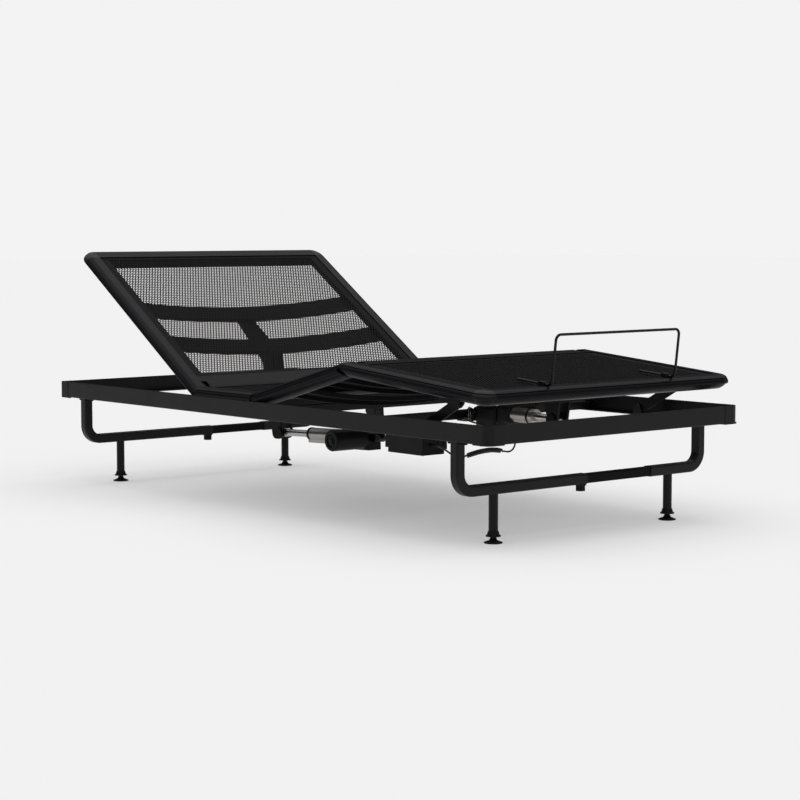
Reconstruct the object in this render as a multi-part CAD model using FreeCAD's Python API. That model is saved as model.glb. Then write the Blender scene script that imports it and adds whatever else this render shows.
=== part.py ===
import FreeCAD, Part
import math
import os

os.makedirs("parts", exist_ok=True)

# Adjustable bed base, twin XL. Millimetres, +Z up, head end at +Y, foot end at -Y, left side at -X.
# Origin: on the floor, under the middle of the base.

# ---- Driving dimensions: outer sizes ----
base_width = 960.0
base_length = 2020.0
rail_top = 324.0
rail_height = 50.0
deck_rise = 24.0          # deck surface above the top of the rails

# ---- Perimeter frame: folded angle rails and corner caps ----
rail_web = 4.0
rail_flange = 32.0
rail_flange_t = 3.0
rail_inset = 1.0          # rails stand this far inside the corner caps' faces
foot_cap_radius = 24.0
head_cap_radius = 7.0
cap_leg = 34.0            # straight part of a corner cap, each way
cap_wall = 5.0
cap_proud = 2.0           # caps reach this far below the rails

# ---- Deck panels ----
back_hinge_y = 278.0
seat_length = 305.0       # between the back hinge and the thigh hinge
thigh_length = 413.0      # between the thigh hinge and the knee hinge
hinge_depth = 18.0        # hinge axes lie this far below the deck surface
bar_width = 45.0
bar_depth = 42.0
lip_height = 23.2         # outer lip of a deck bar, above its parting step
step_in = 6.2             # parting step, so the flank nests inside the rail's web
bar_end_solid = 25.0      # moulded plug at each end of a bar's cavity
nose_clear = 0.5
back_lift = 60.0          # how far the back turns up from flat, degrees
thigh_lift = 30.0
lift_steps = (1 / 3, 2 / 3, 1)     # positions at which a hinge's reliefs are cut
knee_undercut = 22.0      # degrees each side, room for the knee to fold
mesh_thick = 2.2
mesh_drop = 3.0           # mesh top below the deck surface
mesh_tuck = 7.0           # mesh edge held inside the bar's groove
mesh_clear = 0.2
end_bar_height = 22.0
end_bar_reach = 55.0      # from the hinge axis
end_bar_shoulder = 30.0   # inside this distance the end bar leaves room for the hinge lugs
lug_thick = 6.0
lug_gap = 1.0
lug_radius = 12.0
lug_bay = 21.0            # width of the bay for the lugs, inside each side bar
pin_r = 5.0
run_clear = 0.05          # radial running clearance of a pin or shaft
corner_plate_w = 50.0     # flat band behind the mesh at the head end

# ---- Photographed positions of the panels, degrees ----
back_angle = 33.5
thigh_angle = 15.1
leg_slope = 4.8

# ---- Bowed cross members ----
member_width = 64.0
member_height = 14.0
member_wall = 2.0
member_drop = 14.0        # top of a member's ends below the deck surface
member_sag = 50.0
back_members = (256.0, 432.0)      # distance from the back hinge
back_sag = 34.0
thigh_members = (125.0, 128.0)     # from the thigh hinge, and from the knee hinge
calf_members = (150.0, 352.0)      # distance from the knee hinge
calf_sags = (14.0, 50.0)           # the upper one stays clear of the foot drive when flat

# ---- Cross tubes of the base frame ----
cross_w = 40.0
cross_h = 26.0
cross_wall = 2.0
cross_ys = (234.0, 5.0, -425.0)    # under the back hinge, the thigh hinge and the knee

# ---- Telescoping leg bars ----
leg_bar_foot_y = -876.0
leg_bar_head_y = 886.0
leg_tube = 29.0
leg_tube_wall = 1.5
leg_tube_corner = 5.0
leg_tube_inset = 19.0     # middle of a stand's upright, inside the base's edge
leg_bar_z = 143.5
leg_bend_r = 44.0
slide_clear = 0.2
left_tube_ends = {"foot": 0.0, "head": 23.0}
right_tube_reach = {"foot": 209.0, "head": 225.0}     # from the upright to the tube's end
inner_overlap = 90.0
knob_r = 13.0
knob_grip = 15.0
knob_inset = 13.0
screw_r = 4.0

# ---- Legs and levelling feet ----
post_inset = 145.0
post_r = 12.5
post_wall = 2.0
cap_top_z = 32.0
cap_bottom_z = 18.0
cap_flange_r = 20.0
cap_flange_t = 3.0
pad_r = 24.5
pad_height = 14.0
pad_edge = 3.0
stem_r = 5.0
stem_top_z = 72.0

# ---- Swing links between frame and leg panel ----
link_base = (-692.0, 294.0)
link_top = (-826.0, 367.0)
link_width = 28.0
link_thick = 6.0
link_inset = 62.0         # outer face of a link, inside the base's edge
link_pin_r = 5.0
link_slot_long = 12.6     # lost motion along the link at its upper pin
link_slot_side = 3.0      # and to each side
link_slot_back = 1.4      # part of it that lies behind the stored position

# ---- Drives: pins as (y, z), and the windows that give each front pin its lost motion ----
head_rear = (-10.0, 186.0)
head_front = (454.0, 169.0)
foot_rear = (-458.0, 300.0)
foot_front = (-772.0, 296.0)
drive_pin_r = 6.0
ear_thick = 6.0
ear_inner = 16.0
head_window = (34.0, 22.0)
head_window_shift = (8.25, -2.5)
foot_window = (25.0, 24.0)
foot_window_shift = (-3.3, -3.6)
window_rim = 7.0
washer_r = 17.0
head_ear_inner = 13.0     # rear brackets, clear of the gearboxes
foot_ear_inner = 30.0
motor_r = 32.0
head_motor_reach = 150.0
foot_motor_reach = 118.0
head_tube_r = 20.0
head_tube_end = 322.0
head_rod_r = 11.0
foot_tube_r = 20.5
foot_tube_end = 218.0
foot_rod_r = 12.0

# ---- Control box ----
box_inset = 80.0          # inside the base's left edge
box_width = 88.0
box_y = (-670.0, -518.0)
box_z = (215.0, 271.0)
box_wall = 3.0
lid_split = 232.0
head_gland = (54.0, 244.0)       # from the box's outer face, and height
foot_gland = (30.0, 243.0)

# ---- Mattress retainer ----
retainer_half = 235.0
retainer_rod_r = 3.6
retainer_rise = 133.0
retainer_foot = 128.0
retainer_bend = 16.0
retainer_inset = 8.0      # from the panel's foot edge
retainer_lean = 2.0       # degrees outwards

# ---- Leads ----
lead_d = 5.0
coil_d = 15.0
gland_r = 5.0
gland_length = 8.0
head_lead_route = [(-19.0, -10.0, 240.0), (-34.0, -10.0, 240.0), (-48.0, -17.0, 239.0), (-59.0, -31.0, 236.0),
                   (-75.0, -58.0, 231.0), (-95.0, -97.0, 224.0), (-121.0, -146.0, 218.0),
                   (-155.0, -204.0, 214.0), (-194.0, -262.0, 214.0), (-234.0, -320.0, 218.0),
                   (-274.0, -378.0, 226.0), (-310.0, -432.0, 235.0), (-337.0, -470.0, 242.0),
                   (-346.0, -493.0, 244.0), (-346.0, -510.0, 244.0)]
foot_lead_a_route = [(-370.0, -678.0, 243.0), (-370.0, -692.0, 243.0), (-366.0, -706.0, 239.0),
                     (-357.0, -717.0, 231.0), (-345.0, -723.0, 221.0), (-330.0, -723.0, 211.0),
                     (-313.6, -722.2, 206.8), (-300.0, -723.0, 210.0)]
foot_coil_route = [(-300.0, -723.0, 210.0), (-266.0, -725.0, 218.0), (-226.0, -724.0, 222.0),
                   (-184.0, -721.0, 222.0), (-150.0, -722.0, 215.0)]
foot_lead_b_route = [(-150.0, -722.0, 215.0), (-136.4, -722.4, 212.2), (-122.0, -720.0, 214.0),
                     (-107.0, -714.0, 220.0), (-92.0, -704.0, 229.0), (-80.0, -687.0, 239.0),
                     (-73.0, -662.0, 248.0), (-70.0, -630.0, 256.0), (-71.0, -594.0, 263.0),
                     (-72.5, -556.0, 268.0), (-72.0, -520.0, 273.0), (-71.0, -489.0, 277.5),
                     (-67.0, -466.0, 280.5), (-55.0, -450.0, 281.0), (-36.0, -450.0, 281.0)]

# ---- Worked out from the driving dimensions ----
half_w = base_width / 2
half_l = base_length / 2
rail_bottom = rail_top - rail_height
deck_top = rail_top + deck_rise
hinge_z = deck_top - hinge_depth
thigh_hinge_y = back_hinge_y - seat_length
knee_y = thigh_hinge_y - thigh_length
bar_inner = half_w - bar_width
nose_r = hinge_depth
lug_outer = (bar_inner - lug_thick, bar_inner)
lug_inner = (lug_outer[0] - lug_gap - lug_thick, lug_outer[0] - lug_gap)
rail_face = half_w - rail_inset
leg_tube_x = half_w - leg_tube_inset
post_x = half_w - post_inset
link_face = half_w - link_inset
box_x = (-half_w + box_inset, -half_w + box_inset + box_width)
X_AXIS = FreeCAD.Vector(1, 0, 0)
Y_AXIS = FreeCAD.Vector(0, 1, 0)
Z_AXIS = FreeCAD.Vector(0, 0, 1)
done = []
groups = {}


def vec(x, y, z):
    return FreeCAD.Vector(x, y, z)


def block(x0, x1, y0, y1, z0, z1):
    return Part.makeBox(x1 - x0, y1 - y0, z1 - z0, vec(x0, y0, z0))


def rod(r, start, end):
    way = vec(*end) - vec(*start)
    return Part.makeCylinder(r, way.Length, vec(*start), way)


def pin_x(r, x0, x1, y, z):
    return Part.makeCylinder(r, x1 - x0, vec(x0, y, z), X_AXIS)


def join(shapes):
    shape = shapes[0]
    for other in shapes[1:]:
        shape = shape.fuse(other)
    return shape.removeSplitter()


def mirror(shape):
    return shape.mirror(vec(0, 0, 0), X_AXIS)


def both_sides(shape):
    return Part.makeCompound([shape, mirror(shape)])


def gather(name, shape):
    """Adds a solid, or several, to a sub-part that is a group of separate solids."""
    groups.setdefault(name, []).extend(shape.Solids)


def save(name, shape):
    shape.exportStep("parts/" + name + ".step")
    done.append(name)


def plate_x(outline, x0, x1):
    """A plate cut to an outline in the Y-Z plane, standing between x0 and x1."""
    points = [vec(x0, y, z) for y, z in outline]
    face = Part.Face(Part.makePolygon(points + [points[0]]))
    return face.extrude(vec(x1 - x0, 0, 0))


def strap_x(a, b, width, x0, x1):
    """A round-ended strap from a to b, both (y, z), standing between x0 and x1."""
    dy, dz = b[0] - a[0], b[1] - a[1]
    length = math.hypot(dy, dz)
    ny, nz = -dz / length * width / 2, dy / length * width / 2
    body = plate_x([(a[0] + ny, a[1] + nz), (b[0] + ny, b[1] + nz),
                    (b[0] - ny, b[1] - nz), (a[0] - ny, a[1] - nz)], x0, x1)
    ends = [pin_x(width / 2, x0, x1, y, z) for y, z in (a, b)]
    return join([body] + ends)


def slot_x(centre, along, long, wide, x0, x1):
    """A round-ended slot: 'long' and 'wide' are its full sizes, 'along' is its direction in Y-Z."""
    size = math.hypot(*along)
    uy, uz = along[0] / size, along[1] / size
    reach = max((long - wide) / 2, 0.01)
    a = (centre[0] - uy * reach, centre[1] - uz * reach)
    b = (centre[0] + uy * reach, centre[1] + uz * reach)
    return strap_x(a, b, wide, x0, x1)


def turned(shape, angle, y, z):
    """A copy turned about an axis along +X through (y, z)."""
    copy = shape.copy()
    copy.rotate(vec(0, y, z), X_AXIS, angle)
    return copy


def turn_point(point, angle, y, z):
    c, s = math.cos(math.radians(angle)), math.sin(math.radians(angle))
    dy, dz = point[0] - y, point[1] - z
    return (y + dy * c - dz * s, z + dy * s + dz * c)


# Each panel is drawn flat, then folded to its stored position.
def fold_back(shape):
    return turned(shape, back_angle, back_hinge_y, hinge_z)


def fold_thigh(shape):
    return turned(shape, -thigh_angle, thigh_hinge_y, hinge_z)


def fold_calf(shape):
    return fold_thigh(turned(shape, thigh_angle + leg_slope, knee_y, hinge_z))


def unfold_back(point):
    return turn_point(point, -back_angle, back_hinge_y, hinge_z)


def unfold_calf(point):
    flat = turn_point(point, thigh_angle, thigh_hinge_y, hinge_z)
    return turn_point(flat, -thigh_angle - leg_slope, knee_y, hinge_z)


# ---------------------------------------------------------------- deck bars
def bar_outline(place):
    """The deck bar's section. place(inset, drop) puts a point of the section in space."""
    mid = deck_top - mesh_drop
    p = lambda u, w: place(u, deck_top - w)
    line = Part.LineSegment
    lip = lip_height
    edges = [
        line(p(bar_width, 0), p(26, 0)),
        Part.Arc(p(26, 0), p(13, 1.8), p(5, 7)),
        line(p(5, 7), p(8, 8.4)),
        line(p(8, 8.4), p(4, 9.8)),
        Part.Arc(p(4, 9.8), p(0.9, 15), p(0, lip - 1.5)),
        line(p(0, lip - 1.5), p(1.2, lip)),
        line(p(1.2, lip), p(step_in, lip + 0.4)),
        line(p(step_in, lip + 0.4), p(step_in, lip + 1.8)),
        Part.Arc(p(step_in, lip + 1.8), p(17, bar_depth - 6.5), p(34, bar_depth)),
        line(p(34, bar_depth), p(bar_width, bar_depth)),
        line(p(bar_width, bar_depth), p(bar_width, mesh_drop + mesh_thick + mesh_clear)),
        line(p(bar_width, mesh_drop + mesh_thick + mesh_clear),
             p(bar_width - mesh_tuck - 1, mesh_drop + mesh_thick + mesh_clear)),
        line(p(bar_width - mesh_tuck - 1, mesh_drop + mesh_thick + mesh_clear),
             p(bar_width - mesh_tuck - 1, mesh_drop - mesh_clear)),
        line(p(bar_width - mesh_tuck - 1, mesh_drop - mesh_clear), p(bar_width, mesh_drop - mesh_clear)),
        line(p(bar_width, mesh_drop - mesh_clear), p(bar_width, 0)),
    ]
    return Part.Face(Part.Wire([e.toShape() for e in edges]))


def bar_cavity(place):
    p = lambda u, w: place(u, deck_top - w)
    points = [p(bar_width - 4, 10), p(12, 13), p(10, 27), p(35, bar_depth - 3), p(bar_width - 4, bar_depth - 3)]
    return Part.Face(Part.makePolygon(points + [points[0]]))


def side_bar(y0, y1, open_low=False, open_high=False):
    """The left side's bar along Y, hollow between its plugged ends, with drain holes."""
    outer = bar_outline(lambda u, z: vec(u - half_w, y0, z)).extrude(vec(0, y1 - y0, 0))
    c0 = y0 - 1 if open_low else y0 + bar_end_solid
    c1 = y1 + 1 if open_high else y1 - bar_end_solid
    hollow = bar_cavity(lambda u, z: vec(u - half_w, c0, z)).extrude(vec(0, c1 - c0, 0))
    bar = outer.cut(hollow)
    for y in (c0 + 30, c1 - 30):
        drain_x = 38 - half_w
        bar = bar.cut(rod(2.5, (drain_x, y, deck_top - bar_depth - 1), (drain_x, y, deck_top - bar_depth + 8)))
    return bar


def end_bar_profile(x0, x1, y_edge, way):
    """The same section along X, at the deck's foot (way +1 is inboard towards +Y) or head (-1)."""
    outer = bar_outline(lambda u, z: vec(x0, y_edge + way * u, z)).extrude(vec(x1 - x0, 0, 0))
    hollow = bar_cavity(lambda u, z: vec(x0 - 1, y_edge + way * u, z)).extrude(vec(x1 - x0 + 2, 0, 0))
    return outer.cut(hollow)


def corner_piece(y_edge, way):
    """Moulded corner of a panel, the bar's section turned a quarter about the inner corner."""
    y_pivot = y_edge + way * bar_width
    face = bar_outline(lambda u, z: vec(u - half_w, y_pivot, z))
    piece = face.revolve(vec(-bar_inner, y_pivot, 0), Z_AXIS, 90 * way)
    spigot_u = (14.0, bar_width - 6)
    spigot_z = (deck_top - 27, deck_top - 15)
    low, high = sorted((y_pivot, y_pivot + way * 18))
    along_y = block(spigot_u[0] - half_w, spigot_u[1] - half_w, low, high, *spigot_z)
    y_a, y_b = sorted((y_edge + way * spigot_u[0], y_edge + way * spigot_u[1]))
    along_x = block(-bar_inner, -bar_inner + 18, y_a, y_b, *spigot_z)
    return join([piece, along_y, along_x])


def nose_limits(shape, y, way):
    """Rounds a panel's hinged end. way is +1 where the panel lies at +Y of the hinge."""
    wide = half_w + 5
    low, high = (y - 60, y) if way > 0 else (y, y + 60)
    past = block(-wide, wide, low, high, deck_top - 100, deck_top + 20)
    keep = pin_x(nose_r, -wide, wide, y, hinge_z)
    return shape.cut(past.cut(keep))


def undercut(shape, y, way):
    """Cuts a panel's end back below the hinge, leaving room for the knee to fold."""
    wide = half_w + 5
    lean = math.tan(math.radians(knee_undercut)) * 100
    wedge = plate_x([(y - way * 60, hinge_z), (y, hinge_z), (y + way * lean, hinge_z - 100),
                     (y - way * 60, hinge_z - 100)], -wide, wide)
    return shape.cut(wedge)


def rail_relief(shape, y, way, lift):
    """Trims the outer lip of a lifting panel's nose, which would turn down into the side rail's web."""
    top = rail_top + nose_clear
    inner = rail_face - rail_web - nose_clear
    rail = both_sides(block(-half_w - 5, -inner, y - 60, y + 60, rail_bottom - 40, top))
    for step in lift_steps:
        shape = shape.cut(turned(rail, -way * lift * step, y, hinge_z))
    return shape


def hollow_end(shape, y, way, lift=0.0):
    """Cuts the receiving end of a panel round its neighbour's nose, which turns up by 'lift'."""
    wide = half_w + 5
    low, high = (y - 1, y + 60) if way > 0 else (y - 60, y + 1)
    past = block(-wide, wide, low, high, deck_top - 100, deck_top + 20)
    socket = pin_x(nose_r + nose_clear, -wide, wide, y, hinge_z)
    shape = shape.cut(past).cut(socket)
    if lift:
        a, b = sorted((y, y + way * 60))
        neighbour = block(-wide, wide, a, b, hinge_z - 40, deck_top + nose_clear)
        for step in lift_steps:
            shape = shape.cut(turned(neighbour, way * lift * step, y, hinge_z))
    return shape


def hinge_end_bar(y, way):
    """Cross bar next to a hinge, on the side 'way' of it: wide beyond the lugs, narrow between them."""
    top = deck_top - 0.5
    bottom = top - end_bar_height
    a, b = sorted((y + way * end_bar_shoulder, y + way * end_bar_reach))
    wide = block(-bar_inner, bar_inner, a, b, bottom, top)
    c, d = sorted((y - way * nose_r, y + way * end_bar_shoulder))
    narrow = block(-bar_inner + lug_bay, bar_inner - lug_bay, c, d, bottom, top)
    hollow_a, hollow_b = sorted((y + way * (end_bar_shoulder - 4), y + way * (end_bar_reach - 3)))
    hollow = block(-bar_inner - 1, bar_inner + 1, hollow_a, hollow_b, bottom + 2.5, top - 7)
    a_edge, b_edge = sorted((y + way * (end_bar_reach - mesh_tuck - 1), y + way * (end_bar_reach + 1)))
    groove = block(-bar_inner - 1, bar_inner + 1, a_edge, b_edge,
                   deck_top - mesh_drop - mesh_thick - mesh_clear, deck_top - mesh_drop + mesh_clear)
    return join([wide, narrow]).cut(hollow).cut(groove)


def mesh_sheet(y0, y1):
    """Sheet of mesh with clipped corners, its edges tucked into the bars' grooves."""
    x = bar_inner + mesh_tuck
    sheet = block(-x, x, y0, y1, deck_top - mesh_drop - mesh_thick, deck_top - mesh_drop)
    upright = [e for e in sheet.Edges if abs(e.tangentAt(e.FirstParameter).z) > 0.9]
    return sheet.makeChamfer(mesh_tuck - 2, upright)


def bowed_member(y, sag=member_sag):
    """Cross member bowed downwards, a shallow channel open at its underside."""
    half = bar_inner
    radius = (half * half + sag * sag) / (2 * sag)
    z_mid = deck_top - member_drop - sag + radius
    y0, y1 = y - member_width / 2, y + member_width / 2
    ring = lambda r, a, b: Part.makeCylinder(r, b - a, vec(0, a, z_mid), Y_AXIS)
    solid = ring(radius + member_height, y0, y1).cut(ring(radius, y0 - 1, y1 + 1))
    wall = member_wall
    inside = ring(radius + member_height + 5, y0 + wall, y1 - wall).cut(ring(radius + wall, y0, y1))
    window = block(-half, half, y0 - 1, y1 + 1, deck_top - 200, deck_top - 1)
    member = solid.cut(inside).common(window)
    holes = [rod(5.0, (x, y, deck_top - 200), (x, y, deck_top)) for x in (-300, -150, 150, 300)]
    for hole in holes:
        member = member.cut(hole)
    return member


def hinge_lug(y, way, inner):
    """One lug at the left side: 'inner' stands away from the bar on a spacer."""
    x0, x1 = (-lug_inner[1], -lug_inner[0]) if inner else (-lug_outer[1], -lug_outer[0])
    arm = strap_x((y, hinge_z), (y + way * 48, hinge_z), 2 * lug_radius, x0, x1)
    if inner:
        a, b = sorted((y + way * 16, y + way * (end_bar_shoulder - 1)))
        arm = arm.fuse(block(-bar_inner, x0, a, b, hinge_z - 8, hinge_z + 8))
    trim_a, trim_b = sorted((y + way * (end_bar_shoulder - 1), y + way * 80))
    arm = arm.cut(block(-bar_inner - 1, 0, trim_a, trim_b, hinge_z - 40, hinge_z + 40))
    bore = pin_r + run_clear if inner else pin_r
    return arm.cut(pin_x(bore, -half_w, 0, y, hinge_z))


def hinge_pin(y):
    """Shouldered pin of a deck hinge, left side."""
    shank = pin_x(pin_r, -bar_inner, -lug_inner[0] + 0.5, y, hinge_z)
    head = pin_x(8.0, -lug_inner[0] + 0.5, -lug_inner[0] + 4.5, y, hinge_z)
    return shank.fuse(head)


def build_seat():
    y0, y1 = thigh_hinge_y, back_hinge_y
    bar = hollow_end(hollow_end(side_bar(y0, y1), y0, -1, thigh_lift), y1, 1, back_lift)
    gather("seat_bars", both_sides(bar))
    gather("seat_end_bars", hollow_end(hinge_end_bar(y0, 1), y0, -1, thigh_lift))
    gather("seat_end_bars", hollow_end(hinge_end_bar(y1, -1), y1, 1, back_lift))
    gather("seat_end_bars", both_sides(hinge_lug(y0, 1, False)))
    gather("seat_end_bars", both_sides(hinge_lug(y1, -1, False)))
    gather("frame_pins", both_sides(hinge_pin(y0)))
    gather("frame_pins", both_sides(hinge_pin(y1)))
    save("seat_mesh", mesh_sheet(y0 + end_bar_reach - mesh_tuck, y1 - end_bar_reach + mesh_tuck))
    for y in cross_ys[:2]:
        post = block(-bar_inner - 9, -bar_inner + 6, y - 15, y + 15, rail_bottom + cross_h, deck_top - bar_depth)
        gather("frame_brackets", both_sides(post))


def build_back():
    y0, y1 = back_hinge_y, half_l
    bar = nose_limits(side_bar(y0 - nose_r, y1 - bar_width, open_high=True), y0, 1)
    bar = rail_relief(bar, y0, 1, back_lift)
    gather("back_bars", fold_back(both_sides(bar)))
    gather("back_bars", fold_back(end_bar_profile(-bar_inner, bar_inner, y1, -1)))
    gather("back_corners", fold_back(both_sides(corner_piece(y1, -1))))
    gather("back_hinge_bar", fold_back(nose_limits(hinge_end_bar(y0, 1), y0, 1)))
    gather("back_hinge_bar", fold_back(both_sides(hinge_lug(y0, 1, True))))
    save("back_mesh", fold_back(mesh_sheet(y0 + end_bar_reach - mesh_tuck, y1 - bar_width + mesh_tuck)))
    for s in back_members:
        gather("back_members", fold_back(bowed_member(y0 + s, back_sag)))
    z = deck_top - mesh_drop - mesh_thick - 0.6
    band = block(-bar_inner, bar_inner, y1 - bar_width - corner_plate_w, y1 - bar_width, z - 3, z)
    gather("back_members", fold_back(band))
    build_back_lever()


def build_back_lever():
    """Welded lever: two side plates under the back's cross members, reaching down to the head drive."""
    dy, dz = head_window_shift
    reach = (head_window[0] - head_window[1]) / 2
    centre = (head_front[0] + dy, head_front[1] + dz)
    a = unfold_back((centre[0] - reach, centre[1]))
    b = unfold_back((centre[0] + reach, centre[1]))
    boss = head_window[1] / 2 + window_rim
    low = back_hinge_y + back_members[0]
    high = back_hinge_y + back_members[1]
    under = deck_top - member_drop - back_sag - member_height
    slant = math.sqrt(0.5) * boss
    outline = [(high + 30, under), (low - 34, under), (a[0] - slant, a[1] + slant),
               (b[0] + slant, b[1] - slant), (low - 6, under - 48), (high + 30, under - 16)]
    plates = []
    for x0 in (-ear_inner - ear_thick, ear_inner):
        plate = plate_x(outline, x0, x0 + ear_thick)
        plates.append(plate.fuse(strap_x(a, b, 2 * boss, x0, x0 + ear_thick)))
    web = block(-ear_inner, ear_inner, low - 30, high + 30, under - 3, under)
    window = strap_x(a, b, head_window[1], -60, 60)
    save("back_lift_lever", fold_back(join(plates + [web]).cut(window)))


def build_thigh():
    y0, y1 = knee_y, thigh_hinge_y
    bar = nose_limits(side_bar(y0, y1 + nose_r), y1, -1)
    bar = rail_relief(undercut(hollow_end(bar, y0, -1), y0, 1), y1, -1, thigh_lift)
    gather("thigh_bars", fold_thigh(both_sides(bar)))
    gather("thigh_end_bars", fold_thigh(hollow_end(hinge_end_bar(y0, 1), y0, -1)))
    gather("thigh_end_bars", fold_thigh(nose_limits(hinge_end_bar(y1, -1), y1, -1)))
    gather("thigh_end_bars", fold_thigh(both_sides(hinge_lug(y1, -1, True))))
    gather("thigh_end_bars", fold_thigh(both_sides(hinge_lug(y0, 1, False))))
    save("thigh_mesh", fold_thigh(mesh_sheet(y0 + end_bar_reach - mesh_tuck, y1 - end_bar_reach + mesh_tuck)))
    for y in (y1 - thigh_members[0], y0 + thigh_members[1]):
        gather("thigh_members", fold_thigh(bowed_member(y)))
    gather("thigh_knee_pins", fold_thigh(both_sides(hinge_pin(y0))))


def build_calf():
    y0, y1 = -half_l, knee_y
    bar = nose_limits(side_bar(y0 + bar_width, y1 + nose_r, open_low=True), y1, -1)
    gather("calf_bars", fold_calf(both_sides(undercut(bar, y1, -1))))
    gather("calf_bars", fold_calf(end_bar_profile(-bar_inner, bar_inner, y0, 1)))
    gather("calf_corners", fold_calf(both_sides(corner_piece(y0, 1))))
    knee_bar = undercut(nose_limits(hinge_end_bar(y1, -1), y1, -1), y1, -1)
    gather("calf_knee_bar", fold_calf(knee_bar))
    gather("calf_knee_bar", fold_calf(both_sides(hinge_lug(y1, -1, True))))
    save("calf_mesh", fold_calf(mesh_sheet(y0 + bar_width - mesh_tuck, y1 - end_bar_reach + mesh_tuck)))
    for s, sag in zip(calf_members, calf_sags):
        gather("calf_members", fold_calf(bowed_member(y1 - s, sag)))
    build_link_brackets()
    build_calf_arm()


def build_link_brackets():
    """Calf panel's brackets for the swing links, with the pins that run in the links' slots."""
    py, pz = unfold_calf(link_top)
    bottom = deck_top - bar_depth
    x1 = -link_face - 1.5
    x0 = x1 - link_thick
    outline = [(py + 120, bottom + 26), (py + 120, bottom + 2), (py + 14, pz - 8), (py + 4, pz - 14),
               (py - 10, pz - 11), (py - 15, pz), (py - 20, bottom + 26)]
    plate = plate_x(outline, x0, x1)
    spacer = block(-bar_inner, x0, py - 12, py + 110, bottom + 4, bottom + 22)
    member = knee_y - calf_members[1]
    reach = member_width / 2 + 0.3
    notch = block(-bar_inner - 1, x1 + 1, member - reach, member + reach,
                  deck_top - member_drop - member_height - 4.5, deck_top)
    inner = -link_face + link_thick
    pin = pin_x(link_pin_r, x0, inner + 3, py, pz)
    head = pin_x(link_pin_r + 9, inner + 1.5, inner + 4.5, py, pz)
    bracket = join([plate.fuse(spacer).cut(notch), pin, head])
    gather("calf_link_brackets", fold_calf(both_sides(bracket)))


def build_calf_arm():
    """Two ears hanging from the calf panel's lower cross member to the foot drive."""
    dy, dz = foot_window_shift
    centre = (foot_front[0] + dy, foot_front[1] + dz)
    cy, cz = unfold_calf(centre)
    member = knee_y - calf_members[1]
    under = deck_top - member_drop - member_sag - member_height
    boss = foot_window[1] / 2 + window_rim
    outline = [(member + 31, under), (member - 31, under), (cy - boss, cz), (cy + boss, cz)]
    plates = []
    for x0 in (-ear_inner - ear_thick, ear_inner):
        plate = plate_x(outline, x0, x0 + ear_thick)
        plates.append(plate.fuse(pin_x(boss, x0, x0 + ear_thick, cy, cz)))
    web = block(-ear_inner, ear_inner, member - 28, member + 28, under - 4, under)
    window = slot_x((cy, cz), (1, 0), foot_window[0], foot_window[1], -60, 60)
    save("calf_lift_arm", fold_calf(join(plates + [web]).cut(window)))


# ---------------------------------------------------------------- perimeter frame
def rail_section(place):
    """Folded angle: upright web with a rounded top, flange turned inwards at the bottom."""
    t = rail_web
    p = lambda u, z: place(u, z)
    r = t / 2
    edges = [
        Part.LineSegment(p(0, rail_bottom + 3), p(0, rail_top - r)),
        Part.Arc(p(0, rail_top - r), p(r, rail_top), p(t, rail_top - r)),
        Part.LineSegment(p(t, rail_top - r), p(t, rail_bottom + rail_flange_t)),
        Part.LineSegment(p(t, rail_bottom + rail_flange_t), p(rail_flange, rail_bottom + rail_flange_t)),
        Part.LineSegment(p(rail_flange, rail_bottom + rail_flange_t), p(rail_flange, rail_bottom)),
        Part.LineSegment(p(rail_flange, rail_bottom), p(3, rail_bottom)),
        Part.Arc(p(3, rail_bottom), p(0.88, rail_bottom + 0.88), p(0, rail_bottom + 3)),
    ]
    return Part.Face(Part.Wire([e.toShape() for e in edges]))


def cap_path_wall(radius, inset, wall, x_far, y_far):
    """Plan outline, as a face at z=0, of a corner wall at the left foot corner of the frame."""
    x0 = -half_w + inset
    y0 = -half_l + inset
    r = max(radius - inset, 0.8)
    ri = max(r - wall, 0.4)
    c = (x0 + r, y0 + r)
    ci = (x0 + wall + ri, y0 + wall + ri)
    k = math.sqrt(0.5)
    p = lambda x, y: vec(x, y, 0)
    edges = [
        Part.LineSegment(p(x0, y_far), p(x0, c[1])),
        Part.Arc(p(x0, c[1]), p(c[0] - r * k, c[1] - r * k), p(c[0], y0)),
        Part.LineSegment(p(c[0], y0), p(x_far, y0)),
        Part.LineSegment(p(x_far, y0), p(x_far, y0 + wall)),
        Part.LineSegment(p(x_far, y0 + wall), p(ci[0], y0 + wall)),
        Part.Arc(p(ci[0], y0 + wall), p(ci[0] - ri * k, ci[1] - ri * k), p(x0 + wall, ci[1])),
        Part.LineSegment(p(x0 + wall, ci[1]), p(x0 + wall, y_far)),
        Part.LineSegment(p(x0 + wall, y_far), p(x0, y_far)),
    ]
    return Part.Face(Part.Wire([e.toShape() for e in edges]))


def corner_cap(radius):
    """Moulded cap at the left foot corner: wall, and a floor that carries the rails' flanges."""
    x_far = -half_w + radius + cap_leg
    y_far = -half_l + radius + cap_leg
    low = rail_bottom - cap_proud
    wall = cap_path_wall(radius, 0.0, cap_wall, x_far, y_far)
    body = wall.extrude(vec(0, 0, rail_top - low))
    body.translate(vec(0, 0, low))
    reach = rail_flange + rail_inset
    floor = block(-half_w + cap_wall, -half_w + reach, -half_l + cap_wall, y_far, low, rail_bottom + rail_flange_t)
    floor = floor.fuse(block(-half_w + cap_wall, x_far, -half_l + cap_wall, -half_l + reach,
                             low, rail_bottom + rail_flange_t))
    return join([body, floor])


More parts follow.
